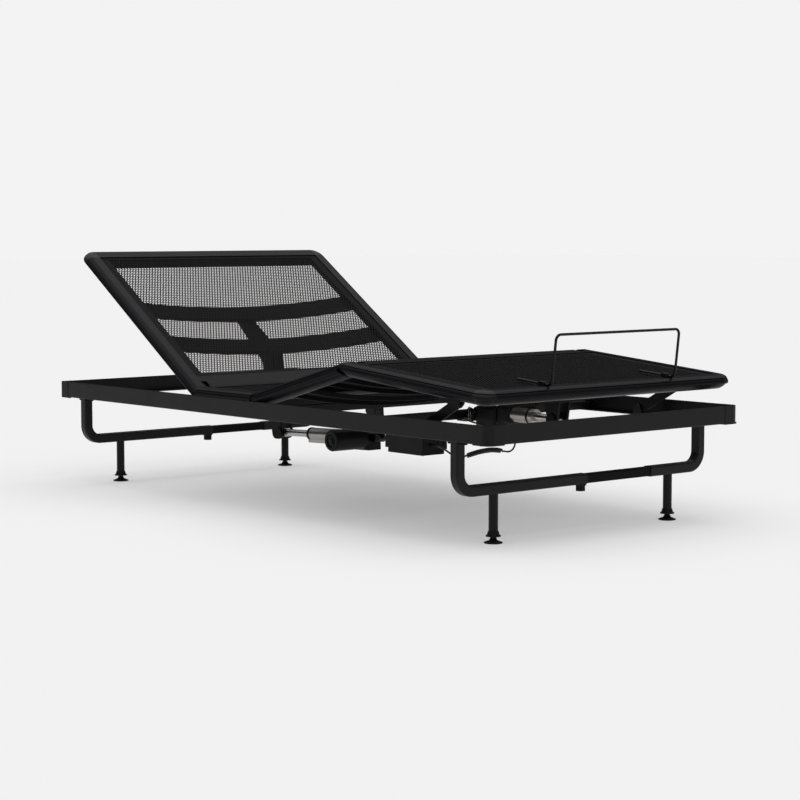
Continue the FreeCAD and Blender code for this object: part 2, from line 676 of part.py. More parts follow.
def build_frame():
    foot_far = foot_cap_radius + cap_leg
    head_far = head_cap_radius + cap_leg
    y0, y1 = -half_l + foot_far, half_l - head_far
    side = rail_section(lambda u, z: vec(u - rail_face, y0, z)).extrude(vec(0, y1 - y0, 0))
    gather("side_rails", both_sides(side))
    edge = half_l - rail_inset
    x = half_w - foot_far
    foot = rail_section(lambda u, z: vec(-x, u - edge, z)).extrude(vec(2 * x, 0, 0))
    gather("end_rails", foot)
    x = half_w - head_far
    head = rail_section(lambda u, z: vec(-x, edge - u, z)).extrude(vec(2 * x, 0, 0))
    gather("end_rails", head)
    gather("corner_caps", both_sides(corner_cap(foot_cap_radius)))
    gather("corner_caps", both_sides(corner_cap(head_cap_radius).mirror(vec(0, 0, 0), Y_AXIS)))
    for y in cross_ys:
        gather("cross_tubes", cross_tube(y))
    build_swing_links()
    build_drive_mounts()


def cross_tube(y):
    x = rail_face - rail_web
    w = cross_wall
    z0, z1 = rail_bottom + rail_flange_t, rail_bottom + cross_h
    tube = block(-x, x, y - cross_w / 2, y + cross_w / 2, z0, z1)
    return tube.cut(block(-x - 1, x + 1, y - cross_w / 2 + w, y + cross_w / 2 - w, z0 + w, z1 - w))


def build_swing_links():
    """Swing links, and their brackets under the side rails' flanges with the pivot pins."""
    by, bz = link_base
    x0 = -link_face + link_thick + 1.5
    x1 = x0 + link_thick
    half = 28.0
    upright = strap_x((by, bz), (by, rail_bottom + 8), 30, x0, x1)
    upright = upright.cut(block(-half_w, 0, by - 60, by + 60, rail_bottom - 60, rail_bottom))
    bridge = block(-rail_face + rail_web, x1, by - half, by + half, rail_bottom - 3, rail_bottom)
    pin = pin_x(link_pin_r, -link_face - 3, x1, by, bz)
    head = pin_x(link_pin_r + 4, -link_face - 6, -link_face - 1, by, bz)
    gather("frame_brackets", both_sides(join([upright, bridge, pin, head])))
    length = math.hypot(link_top[0] - by, link_top[1] - bz)
    unit = ((link_top[0] - by) / length, (link_top[1] - bz) / length)
    on_link = lambda d: (by + unit[0] * d, bz + unit[1] * d)
    low, high = length - link_slot_back, length - link_slot_back + link_slot_long
    x0, x1 = -link_face, -link_face + link_thick
    link = strap_x(link_base, on_link(high), link_width, x0, x1)
    link = link.cut(strap_x(on_link(low), on_link(high), 2 * (link_pin_r + link_slot_side), x0 - 5, x1 + 5))
    link = link.cut(pin_x(link_pin_r + run_clear, -half_w, 0, by, bz))
    gather("swing_links", both_sides(link))


def drive_pin(centre, half, head):
    """Cross pin with a washer at each end."""
    y, z = centre
    shank = pin_x(drive_pin_r, -half, half, y, z)
    ends = [pin_x(head, -half - 2.5, -half, y, z), pin_x(head, half, half + 2.5, y, z)]
    return join([shank] + ends)


def build_drive_mounts():
    """Bracket plates that hold the rear eyes of the two drives, and the pins through them."""
    hy, hz = head_rear
    tube_y = cross_ys[1]
    half = cross_w / 2
    low = rail_bottom + rail_flange_t
    outline = [(tube_y - half, low), (tube_y + half, low), (tube_y + half, low - 12), (hy + 8, low - 38),
               (hy + 8, hz + 10), (hy + 13, hz), (hy + 8, hz - 12), (hy - 8, hz - 12), (hy - 13, hz)]
    plates = [plate_x(outline, x0, x0 + ear_thick) for x0 in (-head_ear_inner - ear_thick, head_ear_inner)]
    tie = block(-head_ear_inner, head_ear_inner, tube_y - half, tube_y + half, low - 4, low)
    gather("frame_brackets", join(plates + [tie]).cut(pin_x(drive_pin_r, -60, 60, hy, hz)))
    fy, fz = foot_rear
    tube_y = cross_ys[2]
    face = tube_y - half
    outline = [(face, low + 20), (face, low - 8), (fy - 6, fz - 12), (fy - 11, fz), (fy - 6, fz + 9),
               (fy + 6, fz + 11)]
    plates = [plate_x(outline, x0, x0 + ear_thick) for x0 in (-foot_ear_inner - ear_thick, foot_ear_inner)]
    tie_x = foot_ear_inner + ear_thick
    tie = block(-tie_x, tie_x, face, tube_y + half, low - 8, low)
    gather("frame_brackets", join(plates + [tie]).cut(pin_x(drive_pin_r, -60, 60, fy, fz)))
    gather("frame_pins", drive_pin(head_rear, head_ear_inner + ear_thick + 0.5, 10))
    gather("frame_pins", drive_pin(foot_rear, foot_ear_inner + ear_thick + 0.5, 9))


# ---------------------------------------------------------------- legs
def rounded_square(centre, u, v, size, radius):
    """Wire of a square with rounded corners, centred, in the plane of unit vectors u and v."""
    h = size / 2
    k = radius * (1 - math.sqrt(0.5))
    at = lambda a, b: centre + u * a + v * b
    edges = []
    for quarter in range(4):
        c, s = [(1, 0), (0, 1), (-1, 0), (0, -1)][quarter]
        turn = lambda a, b: at(a * c - b * s, a * s + b * c)
        edges.append(Part.LineSegment(turn(h, -h + radius), turn(h, h - radius)).toShape())
        edges.append(Part.Arc(turn(h, h - radius), turn(h - k, h - k), turn(h - radius, h)).toShape())
    return Part.Wire(edges)


def bent_tube(x_end, y, size, wall, radius):
    """Left leg tube: down from the rail, round a bend and inwards along X to x_end."""
    x0 = -leg_tube_x
    bend = leg_bend_r
    k = math.sqrt(0.5)
    top = rail_bottom
    z = leg_bar_z
    path = [
        Part.LineSegment(vec(x0, y, top), vec(x0, y, z + bend)).toShape(),
        Part.Arc(vec(x0, y, z + bend), vec(x0 + bend - bend * k, y, z + bend - bend * k),
                 vec(x0 + bend, y, z)).toShape(),
        Part.LineSegment(vec(x0 + bend, y, z), vec(x_end, y, z)).toShape(),
    ]
    wire = Part.Wire(path)
    start = vec(x0, y, top)
    outer = wire.makePipeShell([rounded_square(start, X_AXIS, Y_AXIS, size, radius)], True, False)
    inner = wire.makePipeShell([rounded_square(start, X_AXIS, Y_AXIS, size - 2 * wall, radius - wall)],
                               True, False)
    return outer.cut(inner)


def build_stand(tag, y):
    left_end = left_tube_ends[tag]
    right_end = leg_tube_x - right_tube_reach[tag]
    left = bent_tube(left_end, y, leg_tube, leg_tube_wall, leg_tube_corner)
    knob_x = left_end - knob_inset
    z_low = leg_bar_z - leg_tube / 2
    left = left.cut(rod(screw_r + 0.3, (knob_x, y, z_low - 2), (knob_x, y, z_low + 4)))
    plate = block(knob_x - 14, knob_x + 9, y - leg_tube / 2 + 1, y + leg_tube / 2 - 1, z_low - 3, z_low)
    plate = plate.cut(rod(screw_r + run_clear, (knob_x, y, z_low - 5), (knob_x, y, z_low + 1)))
    save("stand_" + tag + "_left", Part.makeCompound([left, plate]))
    right = mirror(bent_tube(-right_end, y, leg_tube, leg_tube_wall, leg_tube_corner))
    save("stand_" + tag + "_right", right)
    size = leg_tube - 2 * leg_tube_wall - 2 * slide_clear
    x0, x1 = left_end - inner_overlap, right_end + inner_overlap
    outer = Part.Face(rounded_square(vec(x0, y, leg_bar_z), Y_AXIS, Z_AXIS, size, leg_tube_corner - leg_tube_wall))
    inner = Part.Face(rounded_square(vec(x0 - 1, y, leg_bar_z), Y_AXIS, Z_AXIS, size - 2 * leg_tube_wall, 2.0))
    bar = outer.extrude(vec(x1 - x0, 0, 0)).cut(inner.extrude(vec(x1 - x0 + 2, 0, 0)))
    gather("stand_inner_bars", bar)
    save("lock_knob_" + tag, lock_knob(knob_x, y, z_low))


def lock_knob(x, y, z_low):
    """Lock screw with a fluted knob, turning under the stand."""
    top = z_low - 3.4
    grip = rod(knob_r, (x, y, top - knob_grip), (x, y, top))
    for i in range(8):
        a = math.radians(45 * i)
        cx, cy = x + (knob_r + 2.2) * math.cos(a), y + (knob_r + 2.2) * math.sin(a)
        grip = grip.cut(rod(4.0, (cx, cy, top - knob_grip - 1), (cx, cy, top + 1)))
    screw = rod(screw_r, (x, y, top - 1), (x, y, z_low + leg_tube_wall))
    return join([grip, screw])


def build_legs():
    stands = {"foot": leg_bar_foot_y, "head": leg_bar_head_y}
    for tag, y in stands.items():
        build_stand(tag, y)
        for side, x in (("left", -post_x), ("right", post_x)):
            gather("leg_posts", leg_post(x, y))
            gather("leg_end_caps", leg_cap(x, y))
            save("levelling_" + tag + "_" + side, levelling_foot(x, y))


def leg_post(x, y):
    z_top = leg_bar_z - leg_tube / 2
    post = rod(post_r, (x, y, cap_bottom_z + cap_flange_t), (x, y, z_top))
    return post.cut(rod(post_r - post_wall, (x, y, cap_bottom_z), (x, y, z_top - 4)))


def leg_cap(x, y):
    """Moulded cap on a leg's end, with the threaded bore for the levelling foot."""
    z0, z1, z2 = cap_bottom_z, cap_bottom_z + cap_flange_t, cap_top_z
    flange = rod(cap_flange_r, (x, y, z0), (x, y, z1))
    neck = Part.makeCone(cap_flange_r - 3, post_r + 1.5, z2 - z1, vec(x, y, z1), Z_AXIS)
    body = flange.fuse(neck).cut(rod(post_r, (x, y, z1), (x, y, z2 + 1)))
    plug = rod(post_r - post_wall, (x, y, z1), (x, y, z2))
    return join([body, plug]).cut(rod(stem_r + run_clear, (x, y, 0), (x, y, z2 + 1)))


def levelling_foot(x, y):
    """Flared pad with a turned waist and a threaded stem."""
    k = [(0, 0), (pad_r - 1.5, 0), (pad_r, 1.0), (pad_r, pad_edge), (12.0, 7.5), (9.0, pad_height - 3),
         (9.0, pad_height), (7.0, pad_height), (7.0, cap_bottom_z - 0.4), (stem_r, cap_bottom_z - 0.4),
         (stem_r, stem_top_z), (0, stem_top_z)]
    points = [vec(x + r, y, z) for r, z in k]
    face = Part.Face(Part.makePolygon(points + [points[0]]))
    return face.revolve(vec(x, y, 0), Z_AXIS, 360)


# ---------------------------------------------------------------- actuators
def along_drive(rear, front):
    """Placement that takes a shape drawn along +Y from the origin onto the line from rear to front."""
    dy, dz = front[0] - rear[0], front[1] - rear[1]
    angle = math.degrees(math.atan2(dz, dy))
    return FreeCAD.Placement(vec(0, rear[0], rear[1]), FreeCAD.Rotation(X_AXIS, angle))


def placed(shape, placement):
    copy = shape.copy()
    copy.transformShape(placement.toMatrix(), True)
    return copy


def cyl_y(r, y0, y1, x=0.0, z=0.0):
    return Part.makeCylinder(r, y1 - y0, vec(x, y0, z), Y_AXIS)


def gearbox_shape(y0, y1, half_x, z0, z1):
    """Moulded gearbox, a block with rounded long edges."""
    body = block(-half_x, half_x, y0, y1, z0, z1)
    return body.makeFillet(7.0, [e for e in body.Edges if abs(e.tangentAt(e.FirstParameter).x) < 0.1])


def rear_eye(reach):
    """Eye at the drive's rear pivot, on a neck of the given length."""
    neck = block(-12, 12, 0, reach, -9, 9)
    return neck.fuse(pin_x(drive_pin_r + 5, -12, 12, 0, 0))


def motor_can(x0, x1, y, z, outer_end):
    """Motor housing along X; the outer end has a stepped rim and a hub recess."""
    can = Part.makeCylinder(motor_r, x1 - x0, vec(x0, y, z), X_AXIS)
    can = can.makeFillet(3.5, [e for e in can.Edges if e.Closed])
    end = x0 if outer_end < 0 else x1
    a, b = sorted((end, end - outer_end * 2.0))
    dish = pin_x(motor_r - 6, a, b, y, z).cut(pin_x(motor_r - 16, a - 1, b + 1, y, z))
    c, d = sorted((end, end - outer_end * 6.0))
    return can.cut(dish).cut(pin_x(7.0, c, d, y, z))


def drive_rod(r, y0, pin_y, eye_half):
    """Steel rod with a flattened eye, and its pin hole."""
    shaft = cyl_y(r, y0, pin_y - 14)
    eye = block(-eye_half, eye_half, pin_y - 18, pin_y, -13, 13)
    eye = join([shaft, eye, pin_x(13.0, -eye_half, eye_half, pin_y, 0)])
    return eye.cut(pin_x(drive_pin_r, -40, 40, pin_y, 0))


def build_head_drive():
    place = along_drive(head_rear, head_front)
    length = math.hypot(head_front[0] - head_rear[0], head_front[1] - head_rear[1])
    box_end = 84.0
    bore_r = head_rod_r + 1.5
    box = gearbox_shape(16, box_end, 29, -37, 35)
    box = join([box, rear_eye(20)]).cut(pin_x(drive_pin_r + run_clear, -60, 60, 0, 0))
    save("head_drive_gearbox", placed(box, place))
    save("head_drive_motor", placed(motor_can(-head_motor_reach, -29, 37, 0, -1), place))
    tube = cyl_y(head_tube_r, box_end, head_tube_end).fuse(block(-13, 13, box_end, head_tube_end, -26, 0))
    tube = tube.cut(cyl_y(bore_r, box_end - 1, head_tube_end - 6))
    tube = tube.cut(cyl_y(head_rod_r + run_clear, head_tube_end - 8, head_tube_end + 1))
    collar = cyl_y(head_tube_r - 2, head_tube_end, head_tube_end + 6)
    collar = collar.cut(cyl_y(head_rod_r + run_clear, head_tube_end - 1, head_tube_end + 7))
    save("head_drive_tube", placed(join([tube, collar]), place))
    save("head_drive_rod", placed(drive_rod(head_rod_r, 215, length, 11), place))
    save("head_drive_pin", drive_pin(head_front, ear_inner + ear_thick + 1.5, washer_r))


def build_foot_drive():
    place = along_drive(foot_rear, foot_front)
    length = math.hypot(foot_front[0] - foot_rear[0], foot_front[1] - foot_rear[1])
    box_end, neck_end = 97.0, 149.0
    bore_r = foot_rod_r + 1.5
    box = gearbox_shape(16, box_end, 29, -16, 48)
    neck = gearbox_shape(box_end, neck_end, 24, -22, 24).cut(cyl_y(bore_r, 100, neck_end + 1))
    box = join([box, rear_eye(20)]).cut(pin_x(drive_pin_r + run_clear, -60, 60, 0, 0))
    gather("foot_drive_gearbox", placed(box, place))
    gather("foot_drive_gearbox", placed(neck, place))
    save("foot_drive_motor", placed(motor_can(29, foot_motor_reach + 29, 58, 14, 1), place))
    tube = cyl_y(foot_tube_r, neck_end, foot_tube_end).cut(cyl_y(bore_r, neck_end - 1, foot_tube_end + 1))
    gather("foot_drive_tube", placed(tube, place))
    collar = cyl_y(foot_tube_r + 1, foot_tube_end, foot_tube_end + 14).cut(
        cyl_y(foot_rod_r + run_clear, foot_tube_end - 1, foot_tube_end + 15))
    gather("foot_drive_tube", placed(collar, place))
    save("foot_drive_rod", placed(drive_rod(foot_rod_r, 150, length, 11), place))
    save("foot_drive_pin", drive_pin(foot_front, ear_inner + ear_thick + 1.5, washer_r))


# ---------------------------------------------------------------- control box, retainer, leads
def build_control_box():
    x0, x1 = box_x
    y0, y1 = box_y
    z0, z1 = box_z
    w = box_wall
    shell = block(x0, x1, y0, y1, lid_split, z1).cut(block(x0 + w, x1 - w, y0 + w, y1 - w, lid_split - 1, z1 - w))
    for x, size in ((x0 + 42, 15), (x0 + 64, 12)):
        shell = shell.cut(block(x, x + size, y0 - 1, y0 + 1.8, 240, 240 + min(size, 13)))
    ends = (y1 - w, y1 + gland_length), (y0 + w, y0 - gland_length)
    for (x, z), (inside, outside) in zip((head_gland, foot_gland), ends):
        shell = shell.fuse(rod(gland_r, (x0 + x, inside, z), (x0 + x, outside, z)))
    save("control_box_case", shell)
    lid = block(x0 + 4, x1 - 4, y0 + 4, y1 - 4, z0, lid_split)
    lid = lid.makeFillet(5.0, [e for e in lid.Edges if abs(e.tangentAt(e.FirstParameter).z) > 0.9])
    lid = lid.cut(block(x0 + 4 + w, x1 - 4 - w, y0 + 4 + w, y1 - 4 - w, z0 + w, lid_split + 1))
    rim = block(x0, x1, y0, y1, lid_split - 4, lid_split).cut(
        block(x0 + 6, x1 - 6, y0 + 6, y1 - 6, lid_split - 5, lid_split + 1))
    save("control_box_lid", join([lid, rim]))
    inner = 8
    board = block(x0 + inner, x1 - inner, y0 + 14, y1 - inner, lid_split + 6, lid_split + 8)
    parts = [board, block(x0 + 20, x0 + 50, y0 + 60, y0 + 110, lid_split + 8, lid_split + 28),
             block(x0 + 58, x0 + 74, y0 + 90, y0 + 120, lid_split + 8, lid_split + 20)]
    save("control_board", join(parts))
    for y in (y0 + 20, y1 - 44):
        strap = block(-rail_face + rail_web, x0 + 40, y, y + 24, z1, rail_bottom)
        gather("frame_brackets", strap)


def bend_path(points, radius_of):
    """Straight runs joined by tangent arcs. radius_of(i) gives the radius at point i."""
    path = []
    start = points[0]
    for i in range(1, len(points) - 1):
        a, b, c = points[i - 1], points[i], points[i + 1]
        into, out = (b - a), (c - b)
        turn = into.getAngle(out)
        radius = radius_of(i, into.Length, out.Length, turn)
        cut = radius * math.tan(turn / 2)
        into.normalize()
        out.normalize()
        p, q = b - into * cut, b + out * cut
        inward = out - into
        inward.normalize()
        centre = b + inward * (radius / math.cos(turn / 2))
        towards = b - centre
        towards.normalize()
        path.append(Part.LineSegment(start, p).toShape())
        path.append(Part.Arc(p, centre + towards * radius, q).toShape())
        start = q
    path.append(Part.LineSegment(start, points[-1]).toShape())
    return Part.Wire(path)


def tube_on(path, diameter):
    first = path.OrderedEdges[0]
    start = first.valueAt(first.FirstParameter)
    way = first.tangentAt(first.FirstParameter)
    ring = Part.Wire([Part.Circle(start, way, diameter / 2).toShape()])
    return path.makePipeShell([ring], True, False)


def cord(name, route, diameter):
    points = [vec(*p) for p in route]
    radii = []

    def radius_of(i, a, b, turn):
        radii.append(0.45 * min(a, b) / math.tan(turn / 2))
        return radii[-1]

    path = bend_path(points, radius_of)
    solid = tube_on(path, diameter)
    ideal = math.pi * diameter ** 2 / 4 * path.Length
    print(name, "length", round(path.Length, 1), "least radius", round(min(radii), 1),
          "volume ratio", round(solid.Volume / ideal, 4))
    save(name, solid)


def build_retainer():
    """Bent rod that keeps the mattress from sliding, and the clamps that hold its feet."""
    y_edge = -half_l + retainer_inset
    lean = math.tan(math.radians(retainer_lean)) * retainer_rise
    z = deck_top + retainer_rod_r + 0.4
    top = z + retainer_rise
    half = retainer_half
    points = [vec(-half, y_edge + retainer_foot, z), vec(-half, y_edge, z), vec(-half, y_edge - lean, top),
              vec(half, y_edge - lean, top), vec(half, y_edge, z), vec(half, y_edge + retainer_foot, z)]
    path = bend_path(points, lambda i, a, b, turn: retainer_bend)
    save("retainer_bar", fold_calf(tube_on(path, 2 * retainer_rod_r)))
    clamps = []
    for x in (-half, half):
        y = y_edge + 34
        clamp = block(x - 9, x + 9, y - 10, y + 10, deck_top, z + retainer_rod_r + 3)
        clamp = clamp.makeFillet(3.0, [e for e in clamp.Edges if abs(e.tangentAt(e.FirstParameter).z) > 0.9])
        clamps.append(clamp.cut(rod(retainer_rod_r, (x, y - 20, z), (x, y + 20, z))))
    save("retainer_clamps", fold_calf(Part.makeCompound(clamps)))


build_frame()
build_seat()
build_back()
build_thigh()
build_calf()
build_legs()
build_head_drive()
build_foot_drive()
build_control_box()
build_retainer()
cord("head_motor_lead", head_lead_route, lead_d)
cord("foot_lead_to_coil", foot_lead_a_route, lead_d)
cord("foot_lead_coil", foot_coil_route, coil_d)
cord("foot_lead_to_drive", foot_lead_b_route, lead_d)
for group, solids in groups.items():
    save(group, Part.makeCompound(solids))
print(len(done), "sub-parts")
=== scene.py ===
# %% [markdown]
# # An adjustable bed base, as a lesson in Blender
# The frame, the rails, the hinges and the drives come packed from CAD, at their real size. This
# script gives them their finishes, and it makes what CAD leaves plain: the open net of the deck,
# the curly lead, the fasteners and the small fittings. Every length is in metres.

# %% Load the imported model
import math

import bmesh
import bpy
import numpy as np
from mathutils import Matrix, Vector


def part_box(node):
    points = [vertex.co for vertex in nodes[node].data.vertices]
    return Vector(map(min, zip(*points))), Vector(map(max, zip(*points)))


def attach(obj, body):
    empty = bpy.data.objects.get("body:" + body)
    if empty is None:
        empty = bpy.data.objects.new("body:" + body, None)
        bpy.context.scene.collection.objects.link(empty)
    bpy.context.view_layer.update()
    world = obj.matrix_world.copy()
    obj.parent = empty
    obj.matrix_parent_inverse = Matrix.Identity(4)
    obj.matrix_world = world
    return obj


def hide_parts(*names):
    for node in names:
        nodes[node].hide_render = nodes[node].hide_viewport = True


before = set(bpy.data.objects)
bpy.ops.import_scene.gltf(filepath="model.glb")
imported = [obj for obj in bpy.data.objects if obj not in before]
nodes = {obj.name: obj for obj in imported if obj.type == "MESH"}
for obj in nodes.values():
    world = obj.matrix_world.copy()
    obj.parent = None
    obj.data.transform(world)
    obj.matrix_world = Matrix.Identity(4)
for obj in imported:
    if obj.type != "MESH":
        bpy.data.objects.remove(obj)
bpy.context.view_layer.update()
MM = 0.001

# %% [markdown]
# ## Camera
# The camera stands at the foot end, on the left, a little above the deck, and far away, so the
# rails hardly converge. A long lens keeps the proportions true.

# %% Camera
YAW = math.radians(40.646)     # from the +Y direction towards +X
PITCH = math.radians(-4.770)
camera_data = bpy.data.cameras.new("camera")
camera_data.sensor_width = 36.0
camera_data.lens = 93.78
camera_data.clip_start, camera_data.clip_end = 0.1, 60.0
camera = bpy.data.objects.new("camera", camera_data)
bpy.context.scene.collection.objects.link(camera)
camera.location = (-4.021, -4.797, 0.8226)
forward = Vector((math.sin(YAW) * math.cos(PITCH), math.cos(YAW) * math.cos(PITCH), math.sin(PITCH)))
camera.rotation_mode = "QUATERNION"
camera.rotation_quaternion = forward.to_track_quat("-Z", "Y")
bpy.context.scene.camera = camera

# %% [markdown]
# ## Colours and nodes
# Finishes are chosen as sRGB hex values, as a colour card gives them. Shaders compute in linear
# light, so one function converts them. Another adds a shader node with its settings and links.

# %% Helpers for materials
def colour(code):
    """A hex colour, #rrggbb in sRGB, as linear light with alpha."""
    channels = [int(code[i:i + 2], 16) / 255 for i in (1, 3, 5)]
    linear = [c / 12.92 if c <= 0.04045 else ((c + 0.055) / 1.055) ** 2.4 for c in channels]
    return (*linear, 1.0)


def feed(tree, made, inputs):
    """Fills a node's inputs: a socket is linked, and anything else is set as a value."""
    for key, value in inputs.items():
        if isinstance(value, bpy.types.NodeSocket):
            tree.links.new(value, made.inputs[key])
        else:
            made.inputs[key].default_value = value


def node(tree, kind, inputs=None, stops=None, **settings):
    """Adds a shader node. Settings are its properties, and inputs are values or sockets.
    Stops, for a node with a colour ramp, are (position, colour)."""
    made = tree.nodes.new(kind)
    for i, (position, value) in enumerate(stops or []):
        elements = made.color_ramp.elements
        element = elements[i] if i < 2 else elements.new(position)
        element.position, element.color = position, value
    for key, value in settings.items():
        setattr(made, key, value)
    feed(tree, made, inputs or {})
    return made


def new_material(name):
    """An empty material: its tree, its Principled shader and its place in space, in metres."""
    material = bpy.data.materials.new(name)
    material.use_nodes = True
    tree = material.node_tree
    place = node(tree, "ShaderNodeTexCoord").outputs["Object"]
    return material, tree, tree.nodes["Principled BSDF"], place


def per_metre(size_mm):
    """The scale of a texture whose features are size_mm apart, with coordinates in metres."""
    return 1000.0 / size_mm


def noise(tree, place, scale, detail):
    """A soft random pattern."""
    made = node(tree, "ShaderNodeTexNoise", {"Vector": place, "Scale": scale, "Detail": detail})
    return made.outputs["Fac"]


def cells(tree, place, scale):
    """A mosaic of random cells, as the distance from each cell's middle."""
    return node(tree, "ShaderNodeTexVoronoi", {"Vector": place, "Scale": scale}).outputs["Distance"]


def tones(tree, pattern, *stops):
    """A colour that follows a pattern, with stops of (position, hex colour)."""
    mixed = [(position, colour(code)) for position, code in stops]
    return node(tree, "ShaderNodeValToRGB", {"Fac": pattern}, stops=mixed).outputs["Color"]


def gloss(tree, pattern, lowest, highest):
    """A roughness that follows the middle part of a pattern's range."""
    made = node(tree, "ShaderNodeMapRange", {"Value": pattern, "From Min": 0.3, "From Max": 0.7,
                                             "To Min": lowest, "To Max": highest})
    return made.outputs["Result"]


def relief(tree, height, strength, distance):
    """A normal that follows a pattern taken as height, distance metres deep at full strength."""
    made = node(tree, "ShaderNodeBump", {"Height": height, "Strength": strength, "Distance": distance})
    return made.outputs["Normal"]


# %% [markdown]
# ## Powder coat
# The rails, stands and brackets are steel with a satin black powder coat. The powder melts into
# a skin with a faint orange peel, so highlights break up softly. Wide, very slight patches in tone
# and gloss stand for dust and handling.

# %% Powder coat and moulded plastics
PATCH_MM = 140
COAT_SHEEN = 0.2           # a matt black coat or plastic reflects less than a glossy one


def coated_steel(name, base, dusty, peel_mm, roughness, depth=0.12):
    """Satin powder coat on steel: orange peel, with slight patches in tone and gloss."""
    material, tree, shader, place = new_material(name)
    peel = noise(tree, place, per_metre(peel_mm), 2.0)
    patches = noise(tree, place, per_metre(PATCH_MM), 4.0)
    feed(tree, shader, {"Base Color": tones(tree, patches, (0.35, base), (0.75, dusty)),
                        "Roughness": gloss(tree, patches, roughness - 0.05, roughness + 0.08),
                        "Normal": relief(tree, peel, depth, 0.0002),
                        "IOR": 1.5, "Specular IOR Level": COAT_SHEEN})
    return material


def moulded(name, base, worn, roughness, grain_mm=0.9, depth=0.25, ior=1.49):
    """Moulded plastic with a fine spark-eroded grain."""
    material, tree, shader, place = new_material(name)
    grain = cells(tree, place, per_metre(grain_mm))
    cloud = noise(tree, place, per_metre(60), 3.0)
    feed(tree, shader, {"Base Color": tones(tree, cloud, (0.3, base), (0.8, worn)),
                        "Roughness": gloss(tree, cloud, roughness - 0.04, roughness + 0.06),
                        "Normal": relief(tree, grain, depth, 0.0002),
                        "IOR": ior, "Specular IOR Level": COAT_SHEEN})
    return material


# The peel on a real coat is about 1.6 mm from crest to crest. It is drawn wider where it has to
# show.
rail_coat = coated_steel("black_powder_coat_rails", "#121213", "#171718", peel_mm=2.4, roughness=0.40)
stand_coat = coated_steel("black_powder_coat_stands", "#111112", "#161617", peel_mm=2.0, roughness=0.38)
member_coat = coated_steel("black_powder_coat_members", "#0d0d0e", "#121213", peel_mm=2.0, roughness=0.5)
retainer_coat = coated_steel("black_dip_coat_rod", "#0c0c0d", "#121213", peel_mm=1.2, roughness=0.3,
                             depth=0.06)
corner_nylon = moulded("black_nylon_corners", "#121213", "#171719", grain_mm=1.1, roughness=0.44)
cap_nylon = moulded("black_nylon_caps", "#0e0e0f", "#141415", roughness=0.5)
box_abs = moulded("black_abs_box", "#101011", "#151517", grain_mm=1.3, roughness=0.55)
drive_nylon = moulded("black_glass_filled_nylon_drives", "#0b0b0c", "#101012", grain_mm=1.0, roughness=0.48)
pad_rubber = moulded("black_rubber_pads", "#0c0c0d", "#131314", grain_mm=0.7, roughness=0.62, depth=0.35,
                     ior=1.52)

# %% [markdown]
# ## Extruded aluminium and drawn steel
# The deck's bars are aluminium, pushed through a die, which leaves faint straight lines along
# their length. They are coated charcoal, smoother than powder on steel, so they catch a long
# soft highlight. The drives' tubes are aluminium with a bare satin anodised skin, and their rods
# are ground steel. Stretching a noise along the bar's length draws the lines.

# %% Extrusion and bare metals
def lined_metal(name, base, light, across_mm, along, metallic, roughness, axis, slope=0.0, depth=0.15):
    """Metal with fine lines along an axis: 'along' is how many times longer than wide they are.
    The slope, in degrees about X, is that of the panel the metal lies in."""
    material, tree, shader, place = new_material(name)
    size = [across_mm * MM] * 3
    size[axis] *= along
    mapped = node(tree, "ShaderNodeMapping", {"Vector": place, "Scale": size,
                                              "Rotation": (math.radians(slope), 0, 0)}, vector_type="TEXTURE")
    lines = noise(tree, mapped.outputs["Vector"], 1.0, 3.0)
    feed(tree, shader, {"Base Color": tones(tree, lines, (0.3, base), (0.75, light)),
                        "Roughness": gloss(tree, lines, roughness - 0.05, roughness + 0.07),
                        "Normal": relief(tree, lines, depth, 0.0001), "Metallic": metallic,
                        "Specular IOR Level": 0.5 if metallic else 0.06})
    return material


X, Y, Z = 0, 1, 2
SLOPES = {"seat": 0.0, "back": 33.5, "thigh": -15.1, "calf": 4.8}
bar_coats = {}
for panel, slope in SLOPES.items():
    bar_coats[panel] = lined_metal("charcoal_coated_extrusion_" + panel, "#131214", "#18171a", 1.5, 200,
                                   0.0, 0.3, Y, slope, depth=0.06)
end_bar_coat = lined_metal("charcoal_coated_cross_bars", "#121113", "#171619", 1.5, 200, 0.0, 0.36, X,
                           depth=0.06)
tube_anodised = lined_metal("silver_anodised_aluminium", "#a8a3a0", "#bcb8b5", 0.8, 60, 1.0, 0.34, Y)
ground_steel = lined_metal("ground_steel_rods", "#b3b1ae", "#cbc9c6", 0.5, 2, 1.0, 0.2, Y, depth=0.08)
zinc_steel = lined_metal("zinc_plated_fasteners", "#8c8a86", "#a8a6a1", 0.8, 2, 1.0, 0.36, X)
blackened_steel = lined_metal("blackened_steel_pins", "#1c1b1a", "#262524", 0.8, 2, 1.0, 0.42, X)
inner_bar_coat = lined_metal("black_coated_inner_bars", "#0d0d0e", "#121213", 1.2, 80, 0.0, 0.36, X)

# %% [markdown]
# ## Finishes for the CAD pieces
# Each CAD piece keeps its shape and gets the finish of what it is made from.

